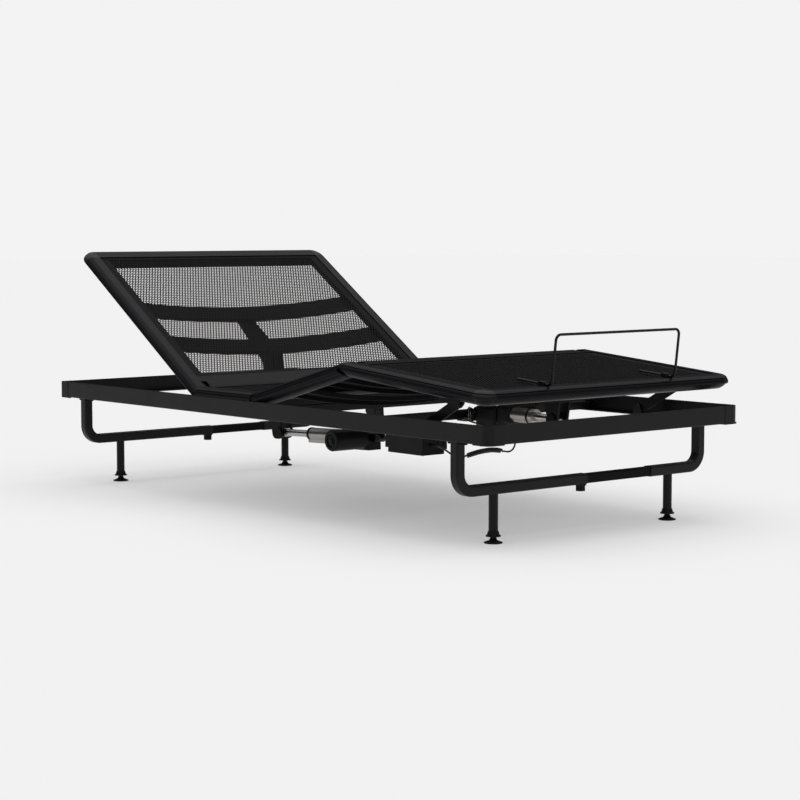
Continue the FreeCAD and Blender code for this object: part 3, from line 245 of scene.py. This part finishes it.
# %% Give the CAD pieces their finishes
FINISHES = {
    rail_coat: ("side_rails", "end_rails", "cross_tubes", "frame_brackets"),
    stand_coat: ("stand_foot_left", "stand_foot_right", "stand_head_left", "stand_head_right", "leg_posts"),
    inner_bar_coat: ("stand_inner_bars",),
    member_coat: ("back_members", "thigh_members", "calf_members", "back_lift_lever", "calf_link_brackets",
                  "calf_lift_arm", "swing_links"),
    retainer_coat: ("retainer_bar",),
    bar_coats["seat"]: ("seat_bars",),
    bar_coats["back"]: ("back_bars",),
    bar_coats["thigh"]: ("thigh_bars",),
    bar_coats["calf"]: ("calf_bars",),
    end_bar_coat: ("seat_end_bars", "back_hinge_bar", "thigh_end_bars", "calf_knee_bar"),
    corner_nylon: ("corner_caps", "back_corners", "calf_corners"),
    cap_nylon: ("leg_end_caps", "retainer_clamps", "lock_knob_foot", "lock_knob_head"),
    pad_rubber: ("levelling_foot_left", "levelling_foot_right", "levelling_head_left",
                 "levelling_head_right"),
    box_abs: ("control_box_case", "control_box_lid"),
    drive_nylon: ("head_drive_gearbox", "head_drive_motor", "foot_drive_gearbox", "foot_drive_motor"),
    tube_anodised: ("head_drive_tube", "foot_drive_tube"),
    ground_steel: ("head_drive_rod", "foot_drive_rod"),
    zinc_steel: ("thigh_knee_pins",),
    blackened_steel: ("frame_pins", "head_drive_pin", "foot_drive_pin"),
}
for finish, names in FINISHES.items():
    for name in names:
        slots = nodes[name].data.materials
        slots.clear()
        slots.append(finish)
print("finishes", len(FINISHES))

# %% [markdown]
# ## A circuit board
# The board is sealed in the box. Glass-filled epoxy with a green lacquer is its usual look.

# %% Circuit board
board_lacquer = moulded("green_lacquered_epoxy_board", "#1c4527", "#2c6038", grain_mm=2.0, roughness=0.35)
nodes["control_board"].data.materials.clear()
nodes["control_board"].data.materials.append(board_lacquer)

# %% [markdown]
# ## Helpers for made pieces
# A made piece is a mesh from points and faces, or a curve with a round section. It rides on the
# body that carries it and takes the finish it is given.

# %% Mesh, lathe and wire helpers
def piece(name, points, faces, material, body, smooth=True):
    """A mesh that rides on a body and takes the finish it is given."""
    mesh = bpy.data.meshes.new(name)
    mesh.from_pydata([tuple(p) for p in points], [], faces)
    mesh.update()
    mesh.materials.append(material)
    if smooth:
        mesh.shade_smooth()
    else:
        mesh.shade_flat()
    made = bpy.data.objects.new(name, mesh)
    bpy.context.scene.collection.objects.link(made)
    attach(made, body)
    return made


def frame_of(axis):
    """Three unit vectors, the last along the axis."""
    w = Vector(axis).normalized()
    u = w.orthogonal().normalized()
    return u, w.cross(u), w


def lathe(profile, centre, axis, turns=24, first=0):
    """Points and faces of a profile of (radius, height) turned about an axis through centre, with
    both ends closed. The faces count their points from first."""
    u, v, w = frame_of(axis)
    points, faces = [], []
    for i in range(turns):
        a = math.tau * i / turns
        out = u * math.cos(a) + v * math.sin(a)
        points += [Vector(centre) + out * r + w * h for r, h in profile]
    n = len(profile)
    for i in range(turns):
        j = (i + 1) % turns
        for k in range(n - 1):
            faces.append((first + i * n + k, first + j * n + k, first + j * n + k + 1, first + i * n + k + 1))
    faces.append([first + i * n for i in reversed(range(turns))])
    faces.append([first + i * n + n - 1 for i in range(turns)])
    return points, faces


def lathes(name, profile, places, material, body, turns=24):
    """One piece of several equal turned parts, at (centre, axis) places."""
    points, faces = [], []
    for centre, axis in places:
        p, f = lathe(profile, centre, axis, turns, len(points))
        points += p
        faces += f
    return piece(name, points, faces, material, body)


def sharpen(made, angle=35):
    """Keeps edges sharper than the angle crisp on a smooth piece."""
    limit = math.radians(angle)
    work = bmesh.new()
    work.from_mesh(made.data)
    for edge in work.edges:
        edge.smooth = len(edge.link_faces) == 2 and edge.calc_face_angle(0) < limit
    bmesh.ops.recalc_face_normals(work, faces=work.faces)
    work.to_mesh(made.data)
    work.free()


def wire(name, points, diameter, material, body, turns=8):
    """A round wire or cord on a NURBS line through its control points, straight out at both ends."""
    data = bpy.data.curves.new(name, "CURVE")
    data.dimensions = "3D"
    spline = data.splines.new("NURBS")
    spline.points.add(len(points) - 1)
    for control, p in zip(spline.points, points):
        control.co = (*p, 1.0)
    spline.order_u = 3             # smooth arcs that keep close to the control points
    spline.use_endpoint_u = True
    spline.resolution_u = turns
    data.bevel_depth = diameter / 2
    data.bevel_resolution = 4
    data.use_fill_caps = True
    data.materials.append(material)
    made = bpy.data.objects.new(name, data)
    bpy.context.scene.collection.objects.link(made)
    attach(made, body)
    return made


# %% [markdown]
# ## Leads
# The head drive's lead hangs free under the seat, from the bracket of the drive's rear pin to the
# control box. It's a limp 5 mm PVC cord, 0.61 m of it. The foot drive's lead comes out of the box,
# is wound into a springy coil, and runs on to the bracket of that drive's rear pin. PVC is smooth,
# with a soft gloss and faint marks from its extruder.

# %% PVC jacket
def cord_jacket(name, base, scuffed):
    """Smooth soft PVC with faint marks, 3 mm apart."""
    material, tree, shader, place = new_material(name)
    marks = noise(tree, place, per_metre(3.0), 3.0)
    feed(tree, shader, {"Base Color": tones(tree, marks, (0.3, base), (0.8, scuffed)),
                        "Normal": relief(tree, marks, 0.1, 0.0001), "Roughness": 0.38, "IOR": 1.53})
    return material


jacket = cord_jacket("black_pvc_jacket", "#0f0f10", "#1a1a1b")

# %% The head drive's lead
LEAD = 0.005
HEAD_ROUTE = [(-0.019, -0.010, 0.240), (-0.034, -0.010, 0.240), (-0.048, -0.017, 0.239),
              (-0.059, -0.031, 0.236), (-0.075, -0.058, 0.231), (-0.095, -0.097, 0.224),
              (-0.121, -0.146, 0.218), (-0.155, -0.204, 0.214), (-0.194, -0.262, 0.214),
              (-0.234, -0.320, 0.218), (-0.274, -0.378, 0.226), (-0.310, -0.432, 0.235),
              (-0.337, -0.470, 0.242), (-0.346, -0.493, 0.244), (-0.346, -0.510, 0.244)]
head_lead = wire("head_lead", HEAD_ROUTE, LEAD, jacket, "base")
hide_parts("head_motor_lead")

# %% [markdown]
# ## The curly lead
# A curly lead is one cord, wound on a rod while hot. Its helix follows a line, so the line is made
# first, as a spline, and read back. Along the coiled stretch the cord goes round the line in small
# circles, which grow from nothing and shrink again over the last 18 mm at each end.

# %% The foot drive's lead, with its coil
ROUTE_IN = [(-0.370, -0.678, 0.243), (-0.370, -0.692, 0.243), (-0.366, -0.706, 0.239),
            (-0.357, -0.717, 0.231), (-0.345, -0.723, 0.221), (-0.330, -0.723, 0.211),
            (-0.3136, -0.7222, 0.2068), (-0.300, -0.723, 0.210)]
ROUTE_COIL = [(-0.300, -0.723, 0.210), (-0.266, -0.725, 0.218), (-0.226, -0.724, 0.222),
              (-0.184, -0.721, 0.222), (-0.150, -0.722, 0.215)]
ROUTE_OUT = [(-0.150, -0.722, 0.215), (-0.1364, -0.7224, 0.2122), (-0.122, -0.720, 0.214),
             (-0.107, -0.714, 0.220), (-0.092, -0.704, 0.229), (-0.080, -0.687, 0.239),
             (-0.073, -0.662, 0.248), (-0.070, -0.630, 0.256), (-0.071, -0.594, 0.263),
             (-0.0725, -0.556, 0.268), (-0.072, -0.520, 0.273), (-0.071, -0.489, 0.2775),
             (-0.067, -0.466, 0.2805), (-0.055, -0.450, 0.281), (-0.036, -0.450, 0.281)]


def line_points(points):
    """The points of the NURBS line that a cord with these control points would follow."""
    guide = wire("guide", points, LEAD, jacket, "base")
    guide.data.bevel_depth = 0.0
    depsgraph = bpy.context.evaluated_depsgraph_get()
    mesh = bpy.data.meshes.new_from_object(guide.evaluated_get(depsgraph))
    found = np.array([v.co[:] for v in mesh.vertices])
    bpy.data.objects.remove(guide)
    bpy.data.meshes.remove(mesh)
    return found


def ease(share):
    """Rises smoothly from 0 to 1 as share does."""
    share = min(1.0, max(0.0, share))
    return share * share * (3 - 2 * share)


FINE_STEP = 0.0001
LONGEST_STEP = 0.004       # between two points where the cord hardly turns
LOOK_AHEAD = 0.002         # the line's direction is taken over this much each way
LAST_GAP = 0.003           # a point nearer to the end than this is left out


def helix(line, pitch, radius, lead_in=0.018, per_turn=14):
    """Points that wind round a line, and the number of turns. Over lead_in at each end the circle
    grows before it turns quickly, so the cord leaves the line in a gentle bend."""
    steps = np.linalg.norm(np.diff(line, axis=0), axis=1)
    along = np.concatenate([[0], np.cumsum(steps)])
    total = along[-1]

    def at(s):
        return Vector([float(np.interp(s, along, line[:, k])) for k in range(3)])

    u = Vector((0, 0, 1))
    s, angle, last_s, last_angle = 0.0, 0.0, 0.0, 0.0
    points = [at(0.0)]
    while s < total - FINE_STEP:
        s += FINE_STEP
        near_end = min(s, total - s) / lead_in
        angle += math.tau / pitch * FINE_STEP * ease(near_end * 0.8) ** 1.5
        if angle - last_angle < math.tau / per_turn and s - last_s < LONGEST_STEP:
            continue
        last_s, last_angle = s, angle
        way = (at(s + LOOK_AHEAD) - at(s - LOOK_AHEAD)).normalized()
        u = (u - way * u.dot(way)).normalized()
        v = way.cross(u)
        out = u * math.cos(angle) + v * math.sin(angle)
        points.append(at(s) + out * radius * ease(near_end))
    if (at(total) - points[-1]).length < LAST_GAP:
        points.pop()
    return points + [at(total)], angle / math.tau


coil_line = line_points(ROUTE_COIL)
coil_points, coil_turns = helix(coil_line, pitch=0.0056, radius=0.0048)
foot_points = [Vector(p) for p in ROUTE_IN[:-1]] + coil_points + [Vector(p) for p in ROUTE_OUT[1:]]
foot_lead = wire("foot_lead", foot_points, LEAD, jacket, "base", turns=3)
print("coil turns", round(coil_turns, 1), "points", len(foot_points))
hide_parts("foot_lead_to_coil", "foot_lead_coil", "foot_lead_to_drive")

# %% [markdown]
# ## The deck's net
# Each panel is covered by an open net of polyester, stretched over its bars, with a solid hem
# along its edges. Its holes let air through and show what lies behind, so they are real holes.
# The real threads are about 1 mm thick and its holes lie some 3 mm apart, too fine to draw one by
# one. A coarser net is drawn, with a hole every 10.5 mm, in staggered rows as it is knitted, and the
# threads are in the material.

# %% Polyester net
def knitted_polyester(name, base, light):
    """Matt knitted polyester: its threads, 1.1 mm apart, are a relief."""
    material, tree, shader, place = new_material(name)
    threads = cells(tree, place, per_metre(1.1))
    feed(tree, shader, {"Base Color": tones(tree, threads, (0.1, light), (0.7, base)),
                        "Normal": relief(tree, threads, 0.5, 0.0004),
                        "Roughness": 0.75, "IOR": 1.5, "Specular IOR Level": 0.12})
    return material


net_polyester = knitted_polyester("black_knitted_polyester_net", "#09090a", "#131315")
NET_PITCH = 10.5 * MM
NET_HOLE = 4.1 * MM        # from a hole's middle to its corners
HOLE_STRETCH = 1.12        # the net is pulled tighter along the panel
NET_THICK = 1.6 * MM
HEM_RISE = 0.4 * MM        # the hem lies on top of the net
HEM_SIDE = 34 * MM
HEM_END = 18 * MM


def sheet_plane(name):
    """Where a panel's flat CAD sheet lies: middle, direction along the panel, normal and half sizes."""
    points = np.array([v.co[:] for v in nodes[name].data.vertices])
    middle = (points.min(axis=0) + points.max(axis=0)) / 2
    spread = points[:, 1:] - points[:, 1:].mean(axis=0)
    way = np.linalg.svd(spread, full_matrices=False)[2][0]
    way = way * np.sign(way[0])
    along = points[:, 1:] @ way
    normal = np.array([-way[1], way[0]])
    across = points[:, 1:] @ normal
    half = (along.max() - along.min()) / 2
    centre = way * (along.max() + along.min()) / 2 + normal * (across.max() + across.min()) / 2
    half_x = abs(points[:, 0]).max()
    return Vector((middle[0], *centre)), Vector((0, *way)), Vector((0, *normal)), half_x, half


def honeycomb(half_x, half_v):
    """Points (x, v, 0) and faces of a net of six-sided holes in staggered rows, in the panel's plane.
    Neighbouring cells share their corners, which are looked up by rounded place."""
    row_step = NET_PITCH * math.sqrt(3) / 2
    rows, columns = int(half_v / row_step), int(half_x / NET_PITCH)
    turns = [math.radians(30 + 60 * k) for k in range(6)]
    cell = NET_PITCH / math.sqrt(3)
    corner = [(math.cos(a) * cell, math.sin(a) * cell) for a in turns]
    inner = [(math.cos(a) * NET_HOLE, math.sin(a) * NET_HOLE * HOLE_STRETCH) for a in turns]
    index, points, faces = {}, [], []
    for row in range(-rows, rows + 1):
        for column in range(-columns, columns + 1):
            x = (column + 0.5 * (row % 2)) * NET_PITCH
            v = row * row_step
            outer = []
            for dx, dv in corner:
                key = (round((x + dx) / NET_PITCH * 4), round((v + dv) / row_step * 6))
                if key not in index:
                    index[key] = len(points)
                    points.append((x + dx, v + dv, 0.0))
                outer.append(index[key])
            first = len(points)
            points += [(x + dx, v + dv, 0.0) for dx, dv in inner]
            faces += [(outer[k], outer[(k + 1) % 6], first + (k + 1) % 6, first + k) for k in range(6)]
    return points, faces


def binding(half_x, half_v, first):
    """Points and faces of the solid hem: a flat frame on the net's edge, HEM_SIDE and HEM_END wide.
    The faces count their points from first."""
    corners = [(-1, -1), (1, -1), (1, 1), (-1, 1)]
    points = [(a * half_x, b * half_v, HEM_RISE) for a, b in corners]
    points += [(a * (half_x - HEM_SIDE), b * (half_v - HEM_END), HEM_RISE) for a, b in corners]
    faces = [(first + k, first + (k + 1) % 4, first + 4 + (k + 1) % 4, first + 4 + k) for k in range(4)]
    return points, faces


NET_EDGE = 2.0 * MM        # the net ends this far inside the bars' grooves
for body in ("seat", "back", "thigh", "calf"):
    sheet_name = body + "_mesh"
    centre, way, normal, half_x, half_v = sheet_plane(sheet_name)
    half_x, half_v = half_x - NET_EDGE, half_v - NET_EDGE
    carrier = "base" if body == "seat" else body
    net_points, net_faces = honeycomb(half_x - HEM_SIDE + NET_PITCH, half_v - HEM_END + NET_PITCH)
    hem_points, hem_faces = binding(half_x, half_v, len(net_points))
    placed = [centre + Vector((x, 0, 0)) + way * v + normal * rise
              for x, v, rise in net_points + hem_points]
    net = piece(body + "_net", placed, net_faces + hem_faces, net_polyester, carrier,
                smooth=False)
    thicken = net.modifiers.new("thickness", "SOLIDIFY")
    thicken.thickness, thicken.offset = NET_THICK, 0.0
    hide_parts(sheet_name)
    print(body, "net", len(net_faces), "faces,", round(2 * half_x, 3), "by", round(2 * half_v, 3))

# %% [markdown]
# ## Fasteners
# The stands are bolted up into the rails with M10 hex bolts. Pan-head screws of three sizes hold
# the corner caps, the box's lid and the motors' end caps. A bolt's head is a six-sided prism with its corners
# turned off, on a washer. The lathe helper makes both: with six turns it gives the prism.

# %% Hex bolts and screws
def bolts(name, places, across, material, body):
    """Hex heads with washers, at (centre on the surface, axis) places; across is the flats' distance."""
    r, h = across / math.sqrt(3), across * 0.4
    head = [(0.0, h), (r * 0.84, h), (r, h * 0.8), (r, h * 0.18), (0.0, h * 0.18)]
    washer = [(0.0, h * 0.2), (r * 1.12, h * 0.2), (r * 1.2, h * 0.12), (r * 1.2, 0.0), (0.0, 0.0)]
    points, faces = [], []
    for centre, axis in places:
        for profile, turns in ((head, 6), (washer, 20)):
            p, f = lathe(profile, centre, axis, turns, len(points))
            points += p
            faces += f
    made = piece(name, points, faces, material, body, smooth=False)
    sharpen(made)
    return made


def screws(name, places, radius, material, body):
    """Pan heads with a sunk six-lobe socket, at (centre on the surface, axis) places."""
    r = radius
    head = [(0.0, r * 0.1), (r * 0.42, r * 0.1), (r * 0.46, r * 0.5), (r * 0.74, r * 0.44),
            (r * 0.96, r * 0.22), (r, 0.0), (0.0, 0.0)]
    made = lathes(name, head, places, material, body, turns=18)
    sharpen(made, 50)
    return made


low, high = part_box("side_rails")
RAIL_UNDER, RAIL_SIDE = low[2], high[0]
print("rails' underside", round(RAIL_UNDER, 4), "side", round(RAIL_SIDE, 4))

# %% [markdown]
# ## Bolts under the rails and screws in the corner caps
# Each stand's upright ends in the rail, where a bolt on each side of the tube goes up through the
# rail's flange. The cap at each of the frame's four corners is held by a screw from below.

# %% Frame fasteners
BOLT_ACROSS = 16 * MM
BOLT_INSET = 18 * MM       # from the rail's outer side
BOLT_REACH = 26 * MM       # from the stand's middle, each way
CAP_SCREW_R = 5.5 * MM
CAP_SCREW_SIDE = 17 * MM   # from the frame's sides
CAP_SCREW_FOOT, CAP_SCREW_HEAD = 42 * MM, 26 * MM      # from the frame's ends
DOWN = (0, 0, -1)
stand_bolts = []
for stand in ("stand_foot_left", "stand_foot_right", "stand_head_left", "stand_head_right"):
    low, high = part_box(stand)
    side = 1 if stand.endswith("right") else -1
    x = side * (RAIL_SIDE - BOLT_INSET)
    y = (low[1] + high[1]) / 2
    stand_bolts += [((x, y + way * BOLT_REACH, RAIL_UNDER), DOWN) for way in (-1, 1)]
bolts("stand_bolts", stand_bolts, BOLT_ACROSS, blackened_steel, "base")
cap_low, cap_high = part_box("corner_caps")
cap_screws = [((x, y, cap_low[2]), DOWN)
              for x in (cap_low[0] + CAP_SCREW_SIDE, cap_high[0] - CAP_SCREW_SIDE)
              for y in (cap_low[1] + CAP_SCREW_FOOT, cap_high[1] - CAP_SCREW_HEAD)]
screws("corner_cap_screws", cap_screws, CAP_SCREW_R, blackened_steel, "base")

# %% [markdown]
# ## Hairpin clips
# Two of the foot drive's pins are kept by spring clips of bright wire, which are pulled out by
# hand when the base is taken apart. One leg of the clip goes through the pin, and the other springs
# round it. It is bent wire, so it is a curve with a round section.

# %% Hairpin clips on the foot drive's pins
spring_wire = lined_metal("zinc_plated_spring_wire", "#98958f", "#b9b6b0", 0.6, 8, 1.0, 0.28, Z)
CLIP = [(0, 12), (0, 2), (0, -18), (-1, -27), (-7, -30), (-11, -24), (-7, -12), (-8.5, -4), (-8, 5),
        (-3.5, 10), (-7, 15)]          # millimetres along Y and Z from the pin's middle
CLIP_WIRE = 1.8 * MM
CLIP_GAP = 1.5 * MM        # from what the pin ends in to the clip's middle
EAR_OUT = 39 * MM          # the rear pin's washer ends here, either side of the middle
FOOT_REAR, FOOT_FRONT = (-0.458, 0.300), (-0.772, 0.296)       # the foot drive's pins, as (y, z)
HEAD_REAR, HEAD_FRONT = (-0.010, 0.186), (0.454, 0.169)        # and the head drive's
front_low, front_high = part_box("foot_drive_pin")
front_middle = [(front_low[k] + front_high[k]) / 2 for k in (Y, Z)]
clips = (("foot_rear", "base", -EAR_OUT - CLIP_GAP, *FOOT_REAR),
         ("foot_front", "foot_rod", front_high[0] + CLIP_GAP, *front_middle))
for name, body, x, y, z in clips:
    loop = [(x, y + a * MM, z + b * MM) for a, b in CLIP]
    wire("hairpin_clip_" + name, loop, CLIP_WIRE, spring_wire, body)
    print("clip", name, round(x, 4), round(y, 4), round(z, 4))

# %% [markdown]
# ## Plugs in the cross members
# The pressed members under the back have holes for draining the paint, closed afterwards with
# push-in plugs. The holes lie square to the panel, so the plugs' places are turned with it.

# %% Member plugs
def folded(point, hinge, degrees):
    """A point of the flat deck, turned about a hinge (y, z) along X."""
    a = math.radians(degrees)
    y, z = point[1] - hinge[0], point[2] - hinge[1]
    turned = (y * math.cos(a) - z * math.sin(a), y * math.sin(a) + z * math.cos(a))
    return (point[0], hinge[0] + turned[0], hinge[1] + turned[1])


BACK_HINGE = (0.278, 0.330)
BACK_SLOPE = SLOPES["back"]
MEMBER_PLACES = (0.256, 0.432)                 # from the hinge
MEMBER_SAG, MEMBER_HALF = 0.034, 0.435         # a member is an arc that hangs down in the middle
MEMBER_ENDS = 0.334                            # the height of its ends, with the deck flat
PLUG_PLACES = (-0.300, -0.150, 0.150, 0.300)
bow = (MEMBER_HALF ** 2 + MEMBER_SAG ** 2) / (2 * MEMBER_SAG)
square = math.radians(BACK_SLOPE)
back_normal = Vector((0, -math.sin(square), math.cos(square)))
plug_places = []
for place in MEMBER_PLACES:
    for x in PLUG_PLACES:
        top = MEMBER_ENDS - MEMBER_SAG + bow - math.sqrt(bow ** 2 - x ** 2)
        plug_places.append((folded((x, BACK_HINGE[0] + place, top), BACK_HINGE, BACK_SLOPE), back_normal))
plug = [(0.0, 1.6 * MM), (4.0 * MM, 1.4 * MM), (6.6 * MM, 0.8 * MM), (7.0 * MM, 0.2 * MM),
        (5.0 * MM, -0.3 * MM), (4.9 * MM, -4.0 * MM), (0.0, -4.0 * MM)]
member_plugs = lathes("member_plugs", plug, plug_places, cap_nylon, "back")
sharpen(member_plugs, 50)
print("plugs", len(plug_places))

# %% [markdown]
# ## The drives' small parts
# Each motor's can is closed by an end cap with a raised ring and a hub, held by three screws, and
# a wiper cap closes each outer tube round its rod. They are round, so they are lathed.

# %% Motor caps, screws and tube collars
MOTOR_SCREW_R = 2.6 * MM
SCREW_CIRCLE = 0.45        # of the can's radius


def ring_piece(name, profile, centre, axis, material, body, turns=40):
    """A turned ring, open in the middle: its profile is a closed loop of (radius, height)."""
    points, faces = lathe(profile, centre, axis, turns)
    faces = faces[:-2]
    n = len(profile)
    for i in range(turns):
        j = (i + 1) % turns
        faces.append((i * n + n - 1, j * n + n - 1, j * n, i * n))
    made = piece(name, points, faces, material, body)
    sharpen(made)
    return made


def motor_cap(name, node_name, body, way):
    """Raised ring, hub and screws on the free end of a motor's can, which lies along X."""
    low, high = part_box(node_name)
    r = (high[2] - low[2]) / 2
    x = high[0] if way > 0 else low[0]
    y, z = (low[1] + high[1]) / 2, (low[2] + high[2]) / 2
    dome = [(0.0, 0.0), (r * 0.28, 0.0), (r * 0.28, 2.2 * MM), (r * 0.20, 3 * MM), (0.0, 3 * MM)]
    lip = [(r * 0.62, -0.2 * MM), (r * 0.94, -0.2 * MM), (r * 0.94, 1.0 * MM), (r * 0.88, 1.6 * MM),
           (r * 0.66, 1.6 * MM), (r * 0.62, 1.0 * MM)]
    hub = lathes(name + "_hub", dome, [((x, y, z), (way, 0, 0))], drive_nylon, body)
    sharpen(hub)
    ring_piece(name + "_lip", lip, (x, y, z), (way, 0, 0), drive_nylon, body)
    spots = [((x, y + math.cos(a) * r * SCREW_CIRCLE, z + math.sin(a) * r * SCREW_CIRCLE), (way, 0, 0))
             for a in (math.radians(90), math.radians(210), math.radians(330))]
    screws(name + "_screws", spots, MOTOR_SCREW_R, blackened_steel, body)
    print(name, "radius", round(r, 4))


motor_cap("head_motor_cap", "head_drive_motor", "head_drive", -1)
motor_cap("foot_motor_cap", "foot_drive_motor", "foot_drive", 1)


def tube_collar(name, rear, front, end, rod_r, tube_r, body):
    """Wiper cap that closes the outer tube round the rod, 11 mm long, end metres from the rear pin."""
    axis = Vector((0, front[0] - rear[0], front[1] - rear[1])).normalized()
    centre = Vector((0, *rear)) + axis * end
    r0, r1 = rod_r + 0.3 * MM, tube_r + 0.9 * MM
    profile = [(r0, 2.0 * MM), (r0 + 2 * MM, 2.4 * MM), (r1 - 1.5 * MM, 1.6 * MM), (r1, 0.4 * MM),
               (r1, -9 * MM), (r1 - 0.7 * MM, -9.4 * MM), (tube_r + 0.05 * MM, -9.4 * MM),
               (tube_r + 0.05 * MM, 0.1 * MM), (r0, 0.1 * MM)]
    return ring_piece(name, profile, centre, axis, drive_nylon, body)


HEAD_TUBE_END, FOOT_TUBE_END = 0.322, 0.218    # from the rear pin, along the drive
tube_collar("head_tube_collar", HEAD_REAR, HEAD_FRONT, HEAD_TUBE_END, 11 * MM, 20 * MM, "head_drive")
tube_collar("foot_tube_collar", FOOT_REAR, FOOT_FRONT, FOOT_TUBE_END, 12 * MM, 20.5 * MM, "foot_drive")

# %% [markdown]
# ## The control box's screws
# The lid is held by four screws from below.

# %% Box screws
LID_SCREW_R = 3.2 * MM
LID_INSET = 13 * MM        # from each side of the lid
lid_low, lid_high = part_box("control_box_lid")
box_screws = [((x, y, lid_low[2]), DOWN) for x in (lid_low[0] + LID_INSET, lid_high[0] - LID_INSET)
              for y in (lid_low[1] + LID_INSET, lid_high[1] - LID_INSET)]
screws("box_screws", box_screws, LID_SCREW_R, blackened_steel, "base")

# %% [markdown]
# ## Strain reliefs
# Where a lead leaves the box or a drive's bracket, a tapered boot of soft PVC keeps it from
# kinking. It is ribbed, so that it bends with the lead. It is lathed on the lead's straight end.

# %% Strain relief boots
BOOT_RIBS, RIB_STEP = 8, 2.0            # the boot is 16 mm long
BOOT_R, BOOT_TAPER = 4.6, 1.6           # its widest radius, and how much thinner it ends
RIB_GROOVE = 0.5


def boot(name, start, way):
    """A ribbed taper round a lead, from start outwards. Its profile is drawn in millimetres."""
    profile = [(0.0, 0.0)]
    for k in range(BOOT_RIBS):
        r, z = BOOT_R - BOOT_TAPER * k / (BOOT_RIBS - 1), RIB_STEP * k
        profile += [(r, z), (r, z + 1.3), (r - RIB_GROOVE, z + 1.4), (r - RIB_GROOVE, z + 1.9)]
    profile.append((0.0, RIB_STEP * BOOT_RIBS))
    profile = [(r * MM, z * MM) for r, z in profile]
    made = lathes(name, profile, [(start, way)], jacket, "base", turns=20)
    sharpen(made)


boot("boot_head_lead_motor", HEAD_ROUTE[0], (-1, 0, 0))
boot("boot_head_lead_box", HEAD_ROUTE[-1], (0, 1, 0))
boot("boot_foot_lead_box", ROUTE_IN[0], (0, -1, 0))
boot("boot_foot_lead_drive", ROUTE_OUT[-1], (-1, 0, 0))
print("boots made")

# %% [markdown]
# ## Floor and studio light
# A pale seamless floor of frosted acrylic, lit a little from below, and a backdrop of the same
# tone leave only a soft shadow under the bed. The camera alone sees the backdrop. The light is a
# dome: bright overhead, as a large softbox would be, and dark near the horizon, so that the black
# flanks stay black and only rounded edges catch a thin highlight. A dome lights the whole floor
# alike, which a lamp nearby can't.

# %% Floor
FLOOR_HALF = 40.0
FLOOR_TONE = "#c4c4c4"
FLOOR_GLOW = 0.32          # its own light, which keeps the shadow soft and pale
floor_mesh = bpy.data.meshes.new("floor")
floor_corners = [(x * FLOOR_HALF, y * FLOOR_HALF, 0) for x, y in ((-1, -1), (1, -1), (1, 1), (-1, 1))]
floor_mesh.from_pydata(floor_corners, [], [(0, 1, 2, 3)])
floor_acrylic, floor_tree, floor_shader, _ = new_material("frosted_white_acrylic_floor")
feed(floor_tree, floor_shader, {"Base Color": colour(FLOOR_TONE), "Roughness": 1.0, "Specular IOR Level": 0.0,
                                "Emission Color": (1.0, 1.0, 1.0, 1.0), "Emission Strength": FLOOR_GLOW})
floor_mesh.materials.append(floor_acrylic)
floor = bpy.data.objects.new("floor", floor_mesh)
bpy.context.scene.collection.objects.link(floor)

# %% Backdrop and dome of light
BACKDROP = colour("#f3f3f3")
DOME = 1.69                # radiance overhead
world = bpy.data.worlds.new("studio")
world.use_nodes = True
bpy.context.scene.world = world
sky = world.node_tree
sky.nodes.clear()
way_out = node(sky, "ShaderNodeTexCoord").outputs["Generated"]
height = node(sky, "ShaderNodeSeparateXYZ", {"Vector": way_out}).outputs["Z"]
dome_stops = [(0.45, (0.02, 0.02, 0.02, 1)), (0.80, (1, 1, 1, 1))]
dome = node(sky, "ShaderNodeValToRGB", {"Fac": height}, stops=dome_stops)
seen = node(sky, "ShaderNodeBackground", {"Color": BACKDROP, "Strength": 1.0})
lighting = node(sky, "ShaderNodeBackground", {"Color": dome.outputs["Color"], "Strength": DOME})
path = node(sky, "ShaderNodeLightPath")
mixed = node(sky, "ShaderNodeMixShader", {"Fac": path.outputs["Is Camera Ray"], 1: lighting.outputs[0],
                                          2: seen.outputs[0]})
node(sky, "ShaderNodeOutputWorld", {"Surface": mixed.outputs[0]})
bpy.context.scene.view_settings.view_transform = "Standard"
print("dome", DOME)
